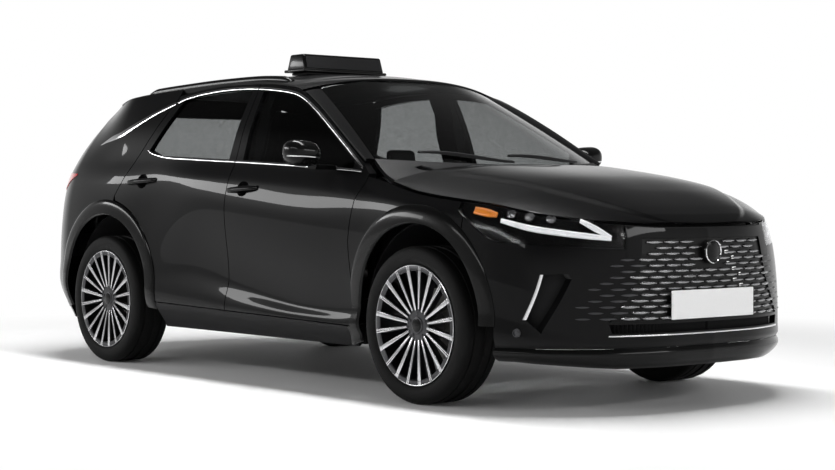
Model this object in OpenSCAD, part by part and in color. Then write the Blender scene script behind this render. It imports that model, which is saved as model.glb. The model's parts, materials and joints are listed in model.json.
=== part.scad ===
// Crossover taxi, full size, in millimetres.
// The nose points to +X, the left side to +Y, and the tyres stand on Z = 0.
// The origin is on the ground, midway between the bumpers.

/* [Proportions] */
// Distance between the axles
wheelbase = 2850; // [2800:10:2900]
// From the front axle to the nose
front_overhang = 1030; // [1000:5:1060]
// From the rear axle to the tail
rear_overhang = 1010; // [980:5:1040]
// Half the width over the wheel arches
half_width = 955; // [935:5:975]
// Height of the window line at the middle pillar
belt_height = 1150; // [1130:5:1170]
// Height of the side windows above the window line
window_height = 405; // [390:5:420]
// Height of the roof's crown above the window line
roof_rise = 516; // [505:1:530]

/* [Wheels] */
// Outer radius of a tyre
tyre_radius = 372; // [360:1:380]
// Width of a tyre
tyre_width = 235; // [225:1:245]
// Outer radius of a rim's lip
rim_radius = 284; // [276:1:290]
// Distance between the front wheels' middles
track_front = 1640; // [1620:2:1650]
// Distance between the rear wheels' middles
track_rear = 1650; // [1630:2:1660]
// Spokes in a rim
spoke_count = 20; // [10:2:24]
// Radius of a front wheel arch
arch_front = 452; // [445:1:460]
// Radius of a rear wheel arch
arch_rear = 470; // [460:1:480]
// Radius of a brake disc
disc_radius = 170; // [150:1:185]

/* [Panels] */
// Gap between a moving panel and its neighbour
panel_gap = 6; // [5:0.5:7]
// Thickness of a door below its window
door_thickness = 64; // [55:1:72]
// Thickness of a door's window frame
frame_thickness = 34; // [28:1:38]
// Width of a door's window frame
frame_width = 34; // [28:1:40]
// Thickness of the bumpers, wings and quarter panels
skin = 14; // [10:1:18]
// Thickness of the bonnet, roof and tailgate
lid_thickness = 34; // [26:1:38]
// Thickness of the window glass
glass_thickness = 8; // [6:0.5:10]
// Clearance round a seated piece
seat_gap = 0.3; // [0.2:0.05:0.6]

/* [Roof sign] */
// Width of the sign across the roof
sign_width = 600; // [500:5:660]
// Depth of the sign along the roof
sign_depth = 190; // [160:5:220]
// Height of the sign's box
sign_height = 104; // [90:1:120]
// Thickness of the sign's foot
sign_foot = 14; // [10:1:18]

/* [Plate] */
// Width of the number plate
plate_width = 560; // [500:5:580]
// Height of the number plate
plate_height = 130; // [105:1:136]

/* [Hidden] */
$fn = 48;

nose = (wheelbase + front_overhang + rear_overhang) / 2;
tail = -nose;
front_axle = nose - front_overhang;
rear_axle = tail + rear_overhang;
axle_height = tyre_radius;
arch_rise = 23;
arch_height = axle_height + arch_rise;

// Places along the car: from the nose, the front axle, the rear axle and the tail
function na(d) = nose + d;
function fa(d) = front_axle + d;
function ra(d) = rear_axle + d;
function ta(d) = tail + d;
function mid(t) = rear_axle + t * wheelbase;
function bz(d) = belt_height + d;

// Curves and grids

function lerp(a, b, t) = a + (b - a) * t;
function span(a, b, n) = [for (i = [0:n]) lerp(a, b, i / n)];
function seg(t, k, i = 0) = i >= len(k) - 2 || t < k[i + 1][0] ? i : seg(t, k, i + 1);
function rise(k, a, b) = (k[b][1] - k[a][1]) / (k[b][0] - k[a][0]);
function slope(k, i) = rise(k, max(i - 1, 0), min(i + 1, len(k) - 1));
// A smooth curve through knots [place, value], where a value may be a whole row of columns
function smooth(t, k) =
  let (i = seg(t, k), h = k[i + 1][0] - k[i][0], u = (t - k[i][0]) / h)
  (2 * u^3 - 3 * u^2 + 1) * k[i][1] + (u^3 - 2 * u^2 + u) * h * slope(k, i)
  + (3 * u^2 - 2 * u^3) * k[i + 1][1] + (u^3 - u^2) * h * slope(k, i + 1);
function flip(p) = [p.x, -p.y, p.z];
function flip_row(r) = [for (p = r) flip(p)];
function flat(g) = [for (r = g) each r];

// A closed sheet between two grids of points; rows run forwards, columns run up and over to the right
module sheet(outer, inner) {
  n = len(outer);
  m = len(outer[0]);
  a = function(i, j) i * m + j;
  b = function(i, j) n * m + i * m + j;
  skins = [for (i = [0:n - 2], j = [0:m - 2]) each [
    [a(i, j), a(i + 1, j), a(i + 1, j + 1)], [a(i, j), a(i + 1, j + 1), a(i, j + 1)],
    [b(i, j), b(i + 1, j + 1), b(i + 1, j)], [b(i, j), b(i, j + 1), b(i + 1, j + 1)]]];
  sides = [for (i = [0:n - 2]) each [
    [a(i, 0), b(i, 0), b(i + 1, 0)], [a(i, 0), b(i + 1, 0), a(i + 1, 0)],
    [a(i, m - 1), b(i + 1, m - 1), b(i, m - 1)], [a(i, m - 1), a(i + 1, m - 1), b(i + 1, m - 1)]]];
  ends = [for (j = [0:m - 2]) each [
    [a(0, j), a(0, j + 1), b(0, j + 1)], [a(0, j), b(0, j + 1), b(0, j)],
    [a(n - 1, j), b(n - 1, j + 1), a(n - 1, j + 1)], [a(n - 1, j), b(n - 1, j), b(n - 1, j + 1)]]];
  polyhedron(concat(flat(outer), flat(inner)), concat(skins, sides, ends));
}

// A prism across the car from a side view, between two widths
module side_cut(points, y0, y1) {
  translate([0, y1, 0]) rotate([90, 0, 0]) linear_extrude(y1 - y0) polygon(points);
}
// A prism along the car from a front view [y, z]
module front_cut(points, x0, x1) {
  translate([x0, 0, 0]) rotate([90, 0, 90]) linear_extrude(x1 - x0) polygon(points);
}
module both() {
  children();
  mirror([0, 1, 0]) children();
}

// The body's side, from the middle of the tail round the left flank to the middle of the nose.
// Columns: place along the side, then x, inset of the plan line, and the height and inset of the
// bottom edge, sill, hollow, crest, shoulder and window line
flank_table = [
  [ta(-640), [ta(0),     half_width, 230, 100, 430, 5, 560, 0, 800, 10, bz(-170), 28, bz(-22), 80]],
  [ta(-345), [ta(14),    673,        230, 100, 430, 5, 560, 0, 800, 10, bz(-170), 28, bz(-22), 80]],
  [ta(-145), [ta(52),    473,        230, 100, 430, 5, 560, 0, 800, 10, bz(-168), 28, bz(-21), 80]],
  [ta(30),   [ta(120),   303,        230, 98,  430, 4, 570, 0, 800, 10, bz(-164), 30, bz(-20), 80]],
  [ta(200),  [ta(228),   163,        230, 92,  430, 2, 590, 0, 800, 10, bz(-158), 33, bz(-12), 82]],
  [ta(370),  [ta(375),   79,         232, 82,  430, 0, 600, 0, 800, 8,  bz(-140), 36, bz(5), 86]],
  [ta(545),  [ta(545),   30,         235, 76,  425, 0, 600, 0, 800, 6,  bz(-120), 38, bz(28), 90]],
  [ra(0),    [ra(0),     2,          300, 40,  420, 8, 600, 0, 800, 2,  bz(-100), 40, bz(45), 92]],
  [ra(480),  [ra(480),   17,         250, 85,  384, 0, 570, 6, 820, 18, bz(-90), 44, bz(42), 86]],
  [mid(0.33), [mid(0.33), 29,        245, 85,  374, 0, 590, 26, 915, 6, bz(-85), 28, bz(22), 76]],
  [mid(0.5), [mid(0.5),  33,         240, 85,  362, 6, 500, 36, 880, 0, bz(-110), 26, bz(0), 74]],
  [mid(0.68), [mid(0.68), 33,        236, 85,  345, 18, 430, 38, 835, 0, bz(-145), 28, bz(-28), 78]],
  [fa(-430), [fa(-430),  27,         236, 85,  338, 22, 440, 34, 790, 4, bz(-185), 24, bz(-65), 82]],
  [fa(0),    [fa(0),     7,          300, 40,  400, 10, 560, 0, 780, 0, bz(-220), 22, bz(-150), 62]],
  [na(-540), [na(-540), 35,        228, 70,  330, 0, 460, 0, 660, 0,  bz(-310), 26, bz(-208), 72]],
  [na(-365), [na(-379), 89,        225, 80,  320, 0, 420, 0, 620, 0,  bz(-360), 28, bz(-236), 84]],
  [na(-195), [na(-255), 193,       225, 90,  310, 2, 380, 0, 580, 2,  bz(-390), 28, bz(-260), 76]],
  [na(-30),  [na(-148), 315,       225, 95,  305, 6, 345, 0, 560, 8,  bz(-405), 28, bz(-275), 60]],
  [na(150),  [na(-66),  473,       225, 95,  305, 8, 345, 0, 560, 8,  bz(-410), 24, bz(-288), 50]],
  [na(345),  [na(-18),  660,       225, 95,  305, 8, 345, 0, 560, 10, bz(-410), 26, bz(-298), 48]],
  [na(640),  [na(0),    half_width, 225, 95, 305, 8, 345, 0, 560, 10, bz(-410), 26, bz(-300), 48]]
];
nose_middle = na(640);
tail_middle = ta(-640);
// How far the side window leans in, half way up and at the top
lean_half = 66;
lean_top = 190;
top_level = 1.15;

// A station: its plan point, its outward direction and its section of [height, inset]
function station(s) =
  let (v = smooth(s, flank_table), p = smooth(s - 1, flank_table), q = smooth(s + 1, flank_table),
       t = [q[0] - p[0], p[1] - q[1]] / norm([q[0] - p[0], p[1] - q[1]]))
  [[v[0], half_width - v[1]], [-t.y, t.x],
   concat([for (i = [2:2:12]) [v[i], v[i + 1]]],
          [[v[12] + window_height / 2, v[13] + lean_half * lean_more(s)],
           [v[12] + window_height * top_level, v[13] + lean_top * lean_more(s)]])];
// The side windows lean in more behind the rear axle
function lean_more(s) = let (k = min(1, max(0, (rear_axle - s) / 560))) 1 + k * k * (3 - 2 * k);
function skin_at(st, z, inset = 0) =
  let (d = smooth(z, st[2]) + inset) [st[0].x - st[1].x * d, st[0].y - st[1].y * d, z];
// Height of a level in a section: 0 bottom edge, 1 sill, 2 hollow, 3 crest, 4 shoulder, 5 window line, 7 top
function level(st, t) = let (i = min(floor(t), len(st[2]) - 2)) lerp(st[2][i][0], st[2][i + 1][0], t - i);
function belt(x) = level(station(x), 5);
function flank_y(x, z) = skin_at(station(x), z).y;
// A grid over the side by levels, and one between two heights that may change along the car
function level_grid(places, levels, inset) =
  [for (s = places) let (st = station(s)) [for (t = levels) skin_at(st, level(st, t), inset(t))]];
function band_grid(places, low, high, steps, inset) =
  [for (s = places) let (st = station(s)) [for (z = span(low(s, st), high(s, st), steps)) skin_at(st, z, inset)]];
function flat_inset(d) = function(t) d;
// A grid on the left half, carried round the nose or the tail to the right half
function round_nose(g) = concat(g, [for (i = [len(g) - 2:-1:0]) flip_row(g[i])]);
function round_tail(g) = concat([for (i = [len(g) - 1:-1:1]) flip_row(g[i])], g);

// Lines on the side, seen from the side as [x, height]

door_split = mid(0.437);
arch_trim = 93;
function sill_line(x) = smooth(x, [[ra(480), 384], [mid(0.5), 362], [fa(-500), 342]]);
function top_at(f) = belt_height + window_height * f;
window_top = [
  [ra(200), top_at(0.76)], [ra(515), top_at(0.924)], [mid(0.3014), top_at(1.002)], [mid(0.4165), top_at(1)],
  [fa(-1306), top_at(0.914)], [fa(-1146), top_at(0.80)], [fa(-850), top_at(0.417)], [fa(-500), top_at(-0.12)]];
function top_line(x) = smooth(x, window_top);
// Edge between the roof and the side
roof_edge = [
  [ra(-330), top_at(0.93)], [ra(0), top_at(1.03)], [ra(515), top_at(1.10)], [mid(0.3014), top_at(1.125)],
  [mid(0.4165), top_at(1.12)], [fa(-1306), top_at(1.035)], [fa(-1196), top_at(0.955)]];
function roof_edge_z(x) = smooth(x, roof_edge);
roof_middle = [
  [ra(-330), roof_rise - 64], [ra(0), roof_rise - 22], [ra(500), roof_rise - 2], [mid(0.35), roof_rise],
  [mid(0.5), roof_rise - 12], [fa(-1146), roof_rise - 62]];
function roof_z(x) = belt_height + smooth(x, roof_middle);

front_edge = [[fa(-510), sill_line(fa(-510))], [fa(-516), 744], [fa(-481), 955], [fa(-440), 1039], [fa(-436), bz(-62)]];
rear_edge = [[ra(101), arch_height + 584], [ra(205), bz(-15)], [ra(285), bz(100)], [ra(490), top_at(1.0)]];
function shift(points, d) = [for (p = points) p + d];

// Doors

door_levels = [0.7, 1, 1.5, 2, 2.5, 3, 3.5, 4, 4.5, 5, 6, 7];
function door_depth(t) = t < 4.8 ? door_thickness : t < 5.5 ? lerp(door_thickness, frame_thickness, 0.5) : frame_thickness;
front_door_outline = concat(
  shift(front_edge, [-panel_gap, 0]),
  [for (x = span(fa(-500), door_split + panel_gap / 2, 16)) [x, top_line(x) + frame_width]],
  [for (x = span(door_split + panel_gap / 2, fa(-520), 4)) [x, sill_line(x)]]);
front_window = concat(
  [for (x = span(door_split + 66, fa(-580), 6)) [x, belt(x) + 14]],
  [for (x = span(fa(-580), door_split + 52, 9)) [x, top_line(x) - 4]]);
rear_door_outline = concat(
  [for (x = span(ra(420), door_split - panel_gap / 2, 4)) [x, sill_line(x)]],
  [for (x = span(door_split - panel_gap / 2, ra(500), 8)) [x, top_line(x) + frame_width]],
  [for (i = [3:-1:0]) rear_edge[i]]);
rear_window = concat(
  [[ra(352), bz(92)], [ra(440), belt(ra(440)) + 18]],
  [for (x = span(ra(520), door_split - 66, 4)) [x, belt(x) + 14]],
  [for (x = span(door_split - 52, ra(548), 6)) [x, top_line(x) - 4]]);

module arch_hole(x, r) {
  translate([x, 0, arch_height]) rotate([90, 0, 0]) cylinder(r = r, h = 3 * half_width, center = true, $fn = 96);
}
module door(places, outline, window) {
  color("black") difference() {
    intersection() {
      sheet(level_grid(places, door_levels, flat_inset(0)), level_grid(places, door_levels, function(t) door_depth(t)));
      side_cut(outline, 0, 2 * half_width);
    }
    side_cut(window, 0, 2 * half_width);
    arch_hole(rear_axle, arch_rear + arch_trim + panel_gap);
  }
}
module door_front_left() {
  door(span(door_split - 20, fa(-400), 8), front_door_outline, front_window);
  handle(door_split + 15, door_split + 285, bz(-140));
}
module door_rear_left() {
  door(span(ra(60), door_split + 20, 8), rear_door_outline, rear_window);
  handle(ra(222), ra(508), bz(-92));
}
module door_glass(places, window) {
  glass_inset = (frame_thickness - glass_thickness) / 2;
  levels = [4.6, 5, 6, 7];
  color([0.1, 0.1, 0.1, 0.5]) intersection() {
    sheet(level_grid(places, levels, flat_inset(glass_inset)),
          level_grid(places, levels, flat_inset(glass_inset + glass_thickness)));
    side_cut(window, 0, 2 * half_width);
  }
}

// Side panels

module wing() {
  places = span(fa(-480), na(-640), 9);
  low = function(s, st) level(st, 2);
  high = function(s, st) level(st, 5) - shut_drop;
  lamp_edge = lamp_start - panel_gap;
  nose_edge = bumper_rear - panel_gap;
  outline = concat(front_edge, [[fa(-436), bz(40)], [lamp_edge, bz(40)], [lamp_edge, lamp_bottom(lamp_start) - panel_gap],
                                [nose_edge, lamp_bottom(bumper_rear) - panel_gap], [nose_edge, 400], [fa(-510), 400]]);
  color("black") difference() {
    intersection() {
      sheet(band_grid(places, low, high, 8, 0), band_grid(places, low, high, 8, skin));
      side_cut(outline, 0, 2 * half_width);
    }
    arch_hole(front_axle, arch_front + arch_trim + seat_gap);
  }
}
module wings() { both() wing(); }

module quarter() {
  places = span(ta(120), ra(560), 14);
  levels = [1.2, 2, 2.6, 3, 3.5, 4, 4.5, 5, 6, 7];
  color("black") difference() {
    intersection() {
      sheet(level_grid(places, levels, flat_inset(0)), level_grid(places, levels, flat_inset(skin)));
      side_cut(quarter_outline, 0, 2 * half_width);
    }
    arch_hole(rear_axle, arch_rear + arch_trim + seat_gap);
    side_cut(tail_lamp_outline, 0, 2 * half_width);
  }
}
module quarter_panels() { both() quarter(); }

// Mouldings round the wheel arches
module arch_ring(x, r, from, to) {
  places = span(from, to, 24);
  ridge = [0, 10, 10, 2];
  at = function(a, k, d) let (rr = r + arch_trim * k / 3, px = x + rr * cos(a), pz = arch_height + rr * sin(a))
    [px, flank_y(px, max(pz, 300)) + ridge[k] - d, pz];
  outer = [for (a = places) [for (k = [0:3]) at(a, k, 0)]];
  inner = [for (a = places) [for (k = [0:3]) at(a, k, 2 * skin)]];
  sheet(outer, inner);
}
module arch_trims() {
  // Below the door the front moulding runs back to the sill
  foot_top = sill_line(fa(-510)) - panel_gap;
  foot_rear = fa(-600);
  color([0.05, 0.05, 0.05]) both() {
    intersection() {
      arch_ring(front_axle, arch_front, 196, 0);
      side_cut(concat([[front_edge[0].x, foot_top]], [for (i = [1:len(front_edge) - 1]) front_edge[i]],
                      [[na(0), bz(0)], [na(0), 0], [foot_rear, 0], [foot_rear, foot_top]]), 0, 2 * half_width);
    }
    arch_ring(rear_axle, arch_rear, 190, -6);
  }
}

module sill_trims() {
  places = span(ra(450), fa(-510) - seat_gap, 8);
  low = function(s, st) 236;
  high = function(s, st) sill_line(s) - panel_gap;
  grid = function(d) band_grid(places, low, high, 4, d);
  color([0.12, 0.12, 0.12]) both() difference() {
    sheet(grid(0), [for (r = grid(0)) [for (p = r) [p.x, sill_outer + seat_gap, p.z]]]);
    arch_hole(rear_axle, arch_rear + arch_trim + seat_gap);
    arch_hole(front_axle, arch_front + arch_trim + seat_gap);
  }
}

// Nose

lamp_low = [[na(-790), bz(-192)], [na(-551), bz(-356)], [na(-325), bz(-385)], [na(-25), bz(-402)], [na(160), bz(-408)]];
function lamp_bottom(s) = smooth(s, lamp_low);
lamp_start = na(-740);
lamp_end = na(139);
// The bonnet's edge is hemmed, and the panels beside it stop below the hem
bonnet_hem = 8;
shut_drop = bonnet_hem + panel_gap;
bumper_rear = na(-700);
bumper_top = 690;
bumper_steps = 8;
nose_places = span(bumper_rear, na(140), 11);
grille_outline = [
  [-574, 420], [574, 420], [516, 487], [438, 600], [412, 715], [400, 788], [-400, 788], [-412, 715], [-438, 600],
  [-516, 487]];
duct_outline = [[848, 428], [806, 370], [704, 612], [714, 634], [798, 630]];
slot_outline = [[-560, 368], [560, 368], [574, 408], [-574, 408]];
lip_top = 300;
lip_bottom = 208;
module front_bumper() {
  places = concat(nose_places, [na(185), na(270), na(345), na(440), na(540), na(640)]);
  top = function(s, st) s < na(180) ? lamp_bottom(s) - 3 * seat_gap : level(st, 5) - shut_drop - 4;
  low = function(s, st) lip_top + seat_gap;
  grid = function(d) round_nose(band_grid(places, low, top, bumper_steps, d));
  color("black") difference() {
    sheet(grid(0), grid(2 * skin));
    front_cut(grille_outline, na(-400), na(50));
    front_cut(slot_outline, na(-300), na(50));
    both() front_cut(duct_outline, na(-420), na(50));
    arch_hole(front_axle, arch_front + arch_trim + seat_gap);
  }
}
grille_depth = 26;
grille_pitch = 26;
blade_pitch = 96;
boss_height = 724;
boss_radius = 54;
boss_length = 40;
module grille() {
  places = concat(span(na(60), na(340), 4), [na(440), na(540), na(640)]);
  low = function(s, st) 385;
  high = function(s, st) 800;
  grid = function(d) round_nose(band_grid(places, low, high, 5, d));
  color([0.2, 0.2, 0.2]) difference() {
    intersection() {
      sheet(grid(6), grid(6 + grille_depth));
      front_cut([for (p = grille_outline) [p.x - sign(p.x) * seat_gap, p.y]], na(-400), na(50));
    }
    for (i = [0:13], k = [-6:6]) {
      z = 434 + i * grille_pitch;
      y = (k + (i % 2) / 2) * blade_pitch;
      reach = lerp(600, 400, (z - 396) / 392) - 50;
      if (abs(y) < reach && !(abs(y) < boss_radius + 38 && abs(z - boss_height) < boss_radius + 6))
        translate([na(-300), y, z]) rotate([90, 0, 90]) linear_extrude(400)
          polygon([[-42, 0], [-26, 8], [26, 8], [42, 0], [26, -8], [-26, -8]]);
    }
  }
  // Plain round boss in the upper middle
  color([0.3, 0.3, 0.3]) translate([na(-50), 0, boss_height]) rotate([0, 90, 0])
    cylinder(r = boss_radius, h = boss_length);
}
// The lip's lower edge rises towards the wheels
function lip_rise(s) = 30 * min(1, max(0, (na(100) - s) / 500));
module front_lip() {
  places = concat(span(na(-700), na(150), 8), [na(345), na(500), na(640)]);
  grid = function(out, low, high) round_nose([for (s = places) let (st = station(s))
    [for (k = [0:3]) let (z = lerp(low + lip_rise(s), high, k / 3), d = out + [34, 2, -12, -2][k])
      [skin_at(st, lip_top, d).x, skin_at(st, lip_top, d).y, z]]]);
  color([0.1, 0.1, 0.1]) difference() {
    sheet(grid(0, lip_bottom, lip_top), grid(90, lip_bottom, lip_top));
    arch_hole(front_axle, arch_front + arch_trim + seat_gap);
  }
}
module headlamps() {
  places = concat([lamp_start], [for (i = [0:len(nose_places) - 2]) nose_places[i]], [lamp_end]);
  depth = function(s) lerp(18, 66, min(1, (s - lamp_start) / 260));
  grid = function(k) [for (s = places) let (st = station(s))
    [for (z = span(lamp_bottom(s), level(st, 5) - shut_drop - 24 * k, 3)) skin_at(st, z, k == 0 ? 3 : depth(s))]];
  color([0.8, 0.8, 0.85]) both() sheet(grid(0), grid(1));
}
module number_plate() {
  color("white") translate([na(-8), -plate_width / 2, 424]) cube([8, plate_width, plate_height]);
}

// Bonnet, cowl and windscreen

bonnet_middle = [
  [fa(-170), bz(-12)], [fa(16), bz(-28)], [fa(413), bz(-84)], [fa(658), bz(-150)], [fa(835), bz(-220)], [na(-50), bz(-298)]];
bonnet_rear = fa(-240);
bonnet_front = na(290);
bonnet_rear_bow = 88;
bonnet_front_bow = 24;
function bonnet_depth(t, u) = lerp(bonnet_hem, lid_thickness, min(1, (1 - abs(u)) / 0.12) * pow(min(1, (1 - t) / 0.2), 2));
function bonnet_point(s, u, under) =
  let (st = station(s), p = skin_at(st, level(st, 5), panel_gap), t = (s - bonnet_rear) / (bonnet_front - bonnet_rear),
       x = p.x + lerp(bonnet_rear_bow, bonnet_front_bow, t) * (1 - u * u), drop = under * bonnet_depth(t, u),
       z = p.z + (max(smooth(x, bonnet_middle), p.z) - p.z) * (1 - pow(abs(u), 3.2)))
  [x - drop * 0.3 * t * t, u * (p.y - drop * 0.4), z - drop];
bonnet_across = [1, 0.92, 0.82, 0.68, 0.45, 0, -0.45, -0.68, -0.82, -0.92, -1];
// Hinge arms under the rear of the bonnet, on pins in the cowl
bonnet_axis = [fa(-315), bz(-42)];
bonnet_pin = 8;
hinge_y = 620;
hinge_width = 26;
hinge_slot = 46;
module at_hinge(p, y, width) { translate([p.x, y + width, p.y]) rotate([90, 0, 0]) linear_extrude(width) children(); }
module bonnet() {
  places = concat(span(bonnet_rear, na(-200), 8), [na(-60), na(60), na(170), bonnet_front]);
  grid = function(d) [for (s = places) [for (u = bonnet_across) bonnet_point(s, u, d)]];
  color("black") {
    sheet(grid(0), grid(1));
    both() difference() {
      hull() {
        at_hinge(bonnet_axis, hinge_y - hinge_width / 2, hinge_width) circle(r = 2 * bonnet_pin);
        at_hinge(bonnet_axis + [130, -36], hinge_y - hinge_width / 2, hinge_width) square([70, 14]);
      }
      at_hinge(bonnet_axis, 0, half_width) circle(r = bonnet_pin + seat_gap);
    }
  }
}
screen_base = 765;
screen_top = 585;
// Screen surface: u from 1 at the left edge to -1, v from 0 at the base to 1 at the roof
function screen_point(u, v, d) =
  let (base = [fa(-220) - 278 * u * u, screen_base * u, bz(-18) + 26 * u * u],
       top = [fa(-1120) - 70 * u * u, screen_top * u, roof_z(fa(-1146)) - 2 - 50 * pow(abs(u), 3)],
       bow = 60 * v * (1 - v) * (1 - 0.4 * u * u) - d)
  lerp(base, top, v) + bow * [0.5, 0, 0.87];
screen_across = [1, 0.8, 0.55, 0.28, 0, -0.28, -0.55, -0.8, -1];
module windscreen() {
  grid = function(d) [for (v = [1, 0.8, 0.6, 0.4, 0.2, 0]) [for (u = screen_across) screen_point(u, v, d)]];
  color([0.1, 0.1, 0.1, 0.5]) sheet(grid(0), grid(glass_thickness));
}
cowl_reach = 0.98;
module cowl() {
  grid = function(d) [
    [for (u = screen_across) screen_point(u, 0, 0) + [seat_gap, 0, 4 - d]],
    [for (u = screen_across) bonnet_point(bonnet_rear, u * cowl_reach, 0) + [-panel_gap - 6, 0, -2 - d]]];
  color([0.1, 0.1, 0.1]) {
    difference() {
      sheet(grid(0), grid(40));
      both() beam(bonnet_axis.x - 3 * bonnet_pin, na(0), hinge_y - hinge_slot / 2, hinge_y + hinge_slot / 2, 0, bz(200));
    }
    both() at_hinge(bonnet_axis, hinge_y - hinge_slot / 2 - 4, hinge_slot + 8) circle(r = bonnet_pin);
  }
}
pillar_depth = 45;
// Roof pillars beside the screen, from the door edge to the glass
module pillar() {
  steps = span(0.015, 1, 10);
  edge = function(t, d) let (x = lerp(fa(-1186), fa(-500), t)) skin_at(station(x), top_line(x) + frame_width + panel_gap + 5 + 15 * t^3, d);
  glass_edge = function(t, d) screen_point(1, 1 - t, d) + [0, seat_gap, 0];
  grid = function(d) [for (t = steps) [for (k = [0, 0.5, 1])
    lerp(edge(t, d), glass_edge(t, d), k) + [0, 0, 12 * k * (1 - k)]]];
  color("black") sheet(grid(0), grid(pillar_depth));
}

// Roof, tailgate and tail

roof_rear = ra(-268);
roof_across = [1, 0.93, 0.8, 0.55, 0.28, 0, -0.28, -0.55, -0.8, -0.93, -1];
function roof_point(x, u, d) =
  let (z = roof_edge_z(x), y = flank_y(x, z) - (d > 0 ? 90 : 0))
  [x, u * y, z + (d > 0 && abs(u) == 1 ? 0 : (roof_z(x) - z) * (1 - pow(abs(u), 2.4)) - d)];
roof_places = concat(span(roof_rear, fa(-1306), 9), [fa(-1245), fa(-1208)]);
module roof() {
  // The front edge follows the top of the screen
  back = glass_thickness / 2 + 3 * seat_gap;
  front = function(x, u, y) lerp(x, screen_point(y / screen_top, 1, 0).x - back, max(0, (x - fa(-1306)) / 98) * (1 - pow(abs(u), 8)));
  grid = function(d) [for (x = roof_places) [for (u = roof_across) let (p = roof_point(x, u, d)) [front(x, u, p.y), p.y, p.z]]];
  color("black") {
    sheet(grid(0), grid(lid_thickness));
    both() difference() {
      tail_knuckle(tail_hinge_y, 15);
      at_hinge(tail_axis, 0, half_width) circle(r = tail_pin + seat_gap);
    }
  }
}
// The tailgate hangs on two hinges, each a knuckle on the roof between two on the tailgate
tail_axis = [ta(728), bz(450)];
tail_pin = 4;
tail_hinge_y = 150;
knuckle_radius = 7;
knuckle_width = 20;
module tail_knuckle(y, reach) {
  hull() {
    at_hinge(tail_axis, y, knuckle_width) circle(r = knuckle_radius);
    at_hinge(tail_axis + [reach, -knuckle_radius], y, knuckle_width) square([2, 8]);
  }
}
// Tailgate section up the middle: columns x behind the tail line, half width, and how far the edges sit forwards
tail_section = [
  [650, [18, 743, 185]], [800, [10, 727, 190]], [bz(-150), [38, 719, 188]], [bz(-25), [96, 700, 180]], [bz(150), [286, 640, 160]],
  [bz(300), [450, 585, 125]], [bz(395), [600, 566, 55]], [bz(458), [714, 560, 0]]];
tail_across = [1, 0.9, 0.7, 0.4, 0, -0.4, -0.7, -0.9, -1];
function tail_point(z, u, d) =
  let (v = smooth(z, tail_section), w = smooth(z + 1, tail_section), n = [w[0] - v[0], -1] / norm([w[0] - v[0], -1]))
  [ta(v[0] + v[2] * pow(abs(u), 2.6)) - n.y * d, u * (v[1] - d), z - n.x * d - 34 * pow(abs(u), 3) * max(0, (z - bz(300)) / 158)];
tail_window = [[-560, bz(36)], [560, bz(36)], [470, bz(330)], [-470, bz(330)]];
tail_heights = concat([696, 760, 820, 900], [for (d = [-170, -90, -25, 30, 110, 210, 300, 360, 400, 432, 458]) bz(d)]);
// Spoiler over the rear window: v from 0 at the roof to 1 at its tip
spoiler_reach = 225;
function spoiler(under) = [for (v = [1, 0.75, 0.5, 0.25, 0]) [for (u = tail_across)
  [tail_axis.x - 22 - v * (spoiler_reach - 70 * u * u), u * lerp(556, 520, v),
   bz(452) - 56 * v^1.4 - 34 * pow(abs(u), 3) - under * lerp(30, 9, v)]]];
module tailgate() {
  grid = function(d) [for (u = tail_across) [for (z = tail_heights) tail_point(z, -u, d)]];
  color("black") difference() {
    sheet(grid(0), grid(lid_thickness));
    front_cut(tail_window, tail - 50, tail + 650);
    both() at_hinge(tail_axis, tail_hinge_y - 2, knuckle_width + 4) circle(r = knuckle_radius + 5);
  }
  color("black") both() {
    for (s = [-1, 1]) tail_knuckle(tail_hinge_y + s * (knuckle_width + 2), -20);
    at_hinge(tail_axis, tail_hinge_y - 10, knuckle_width + 20) circle(r = tail_pin);
  }
  color("black") sheet(spoiler(0), spoiler(1));
}
module tailgate_glass() {
  heights = [for (d = [0, 60, 130, 210, 290, 350]) bz(d)];
  grid = function(d) [for (u = tail_across) [for (z = heights) tail_point(z, -u, d)]];
  color([0.1, 0.1, 0.1, 0.5]) intersection() {
    sheet(grid(10), grid(10 + glass_thickness));
    front_cut(tail_window, tail - 50, tail + 650);
  }
}
// Wedge of the lamp on the corner, seen from the side
tail_lamp_outline = [[ta(150), bz(-170)], [ta(330), bz(-120)], [ta(560), bz(-46)], [ta(560), bz(-34)], [ta(150), bz(-20)]];
quarter_outline = concat(
  shift(rear_edge, [-1.3 * panel_gap, 0]),
  [for (i = [len(roof_places) - 1:-1:0]) let (x = roof_places[i]) if (x < ra(484)) [x, roof_edge_z(x) - seat_gap]],
  [for (i = [len(tail_heights) - 3:-1:0]) let (p = tail_point(tail_heights[i], 1, 0)) [p.x + panel_gap, p.z]],
  [[ta(210), bumper_top + seat_gap], [ra(-400), bumper_top + seat_gap], [ra(0), arch_height]]);
module tail_lamps() {
  places = span(ta(120), ta(600), 8);
  low = function(s, st) bz(-180);
  high = function(s, st) bz(-10);
  grid = function(d) band_grid(places, low, high, 3, d);
  inside = [for (p = tail_lamp_outline) [p.x - (p.x > ta(200) ? seat_gap : 0), lerp(p.y, bz(-60), 0.005)]];
  color([0.6, 0.05, 0.05]) both() intersection() {
    sheet(grid(-4), grid(skin));
    side_cut(inside, 0, 2 * half_width);
    side_cut(quarter_outline, 0, 2 * half_width);
  }
}
module rear_bumper() {
  places = concat([ta(-640), ta(-480), ta(-345)], span(ta(-145), ta(560), 8));
  low = function(s, st) level(st, 0);
  high = function(s, st) bumper_top;
  grid = function(d) round_tail(band_grid(places, low, high, 7, d));
  color("black") difference() {
    sheet(grid(0), grid(2 * skin));
    arch_hole(rear_axle, arch_rear + arch_trim + seat_gap);
  }
}
rail_lift = 22;
rail_place = 0.9;
rail_width = 28;
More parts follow.
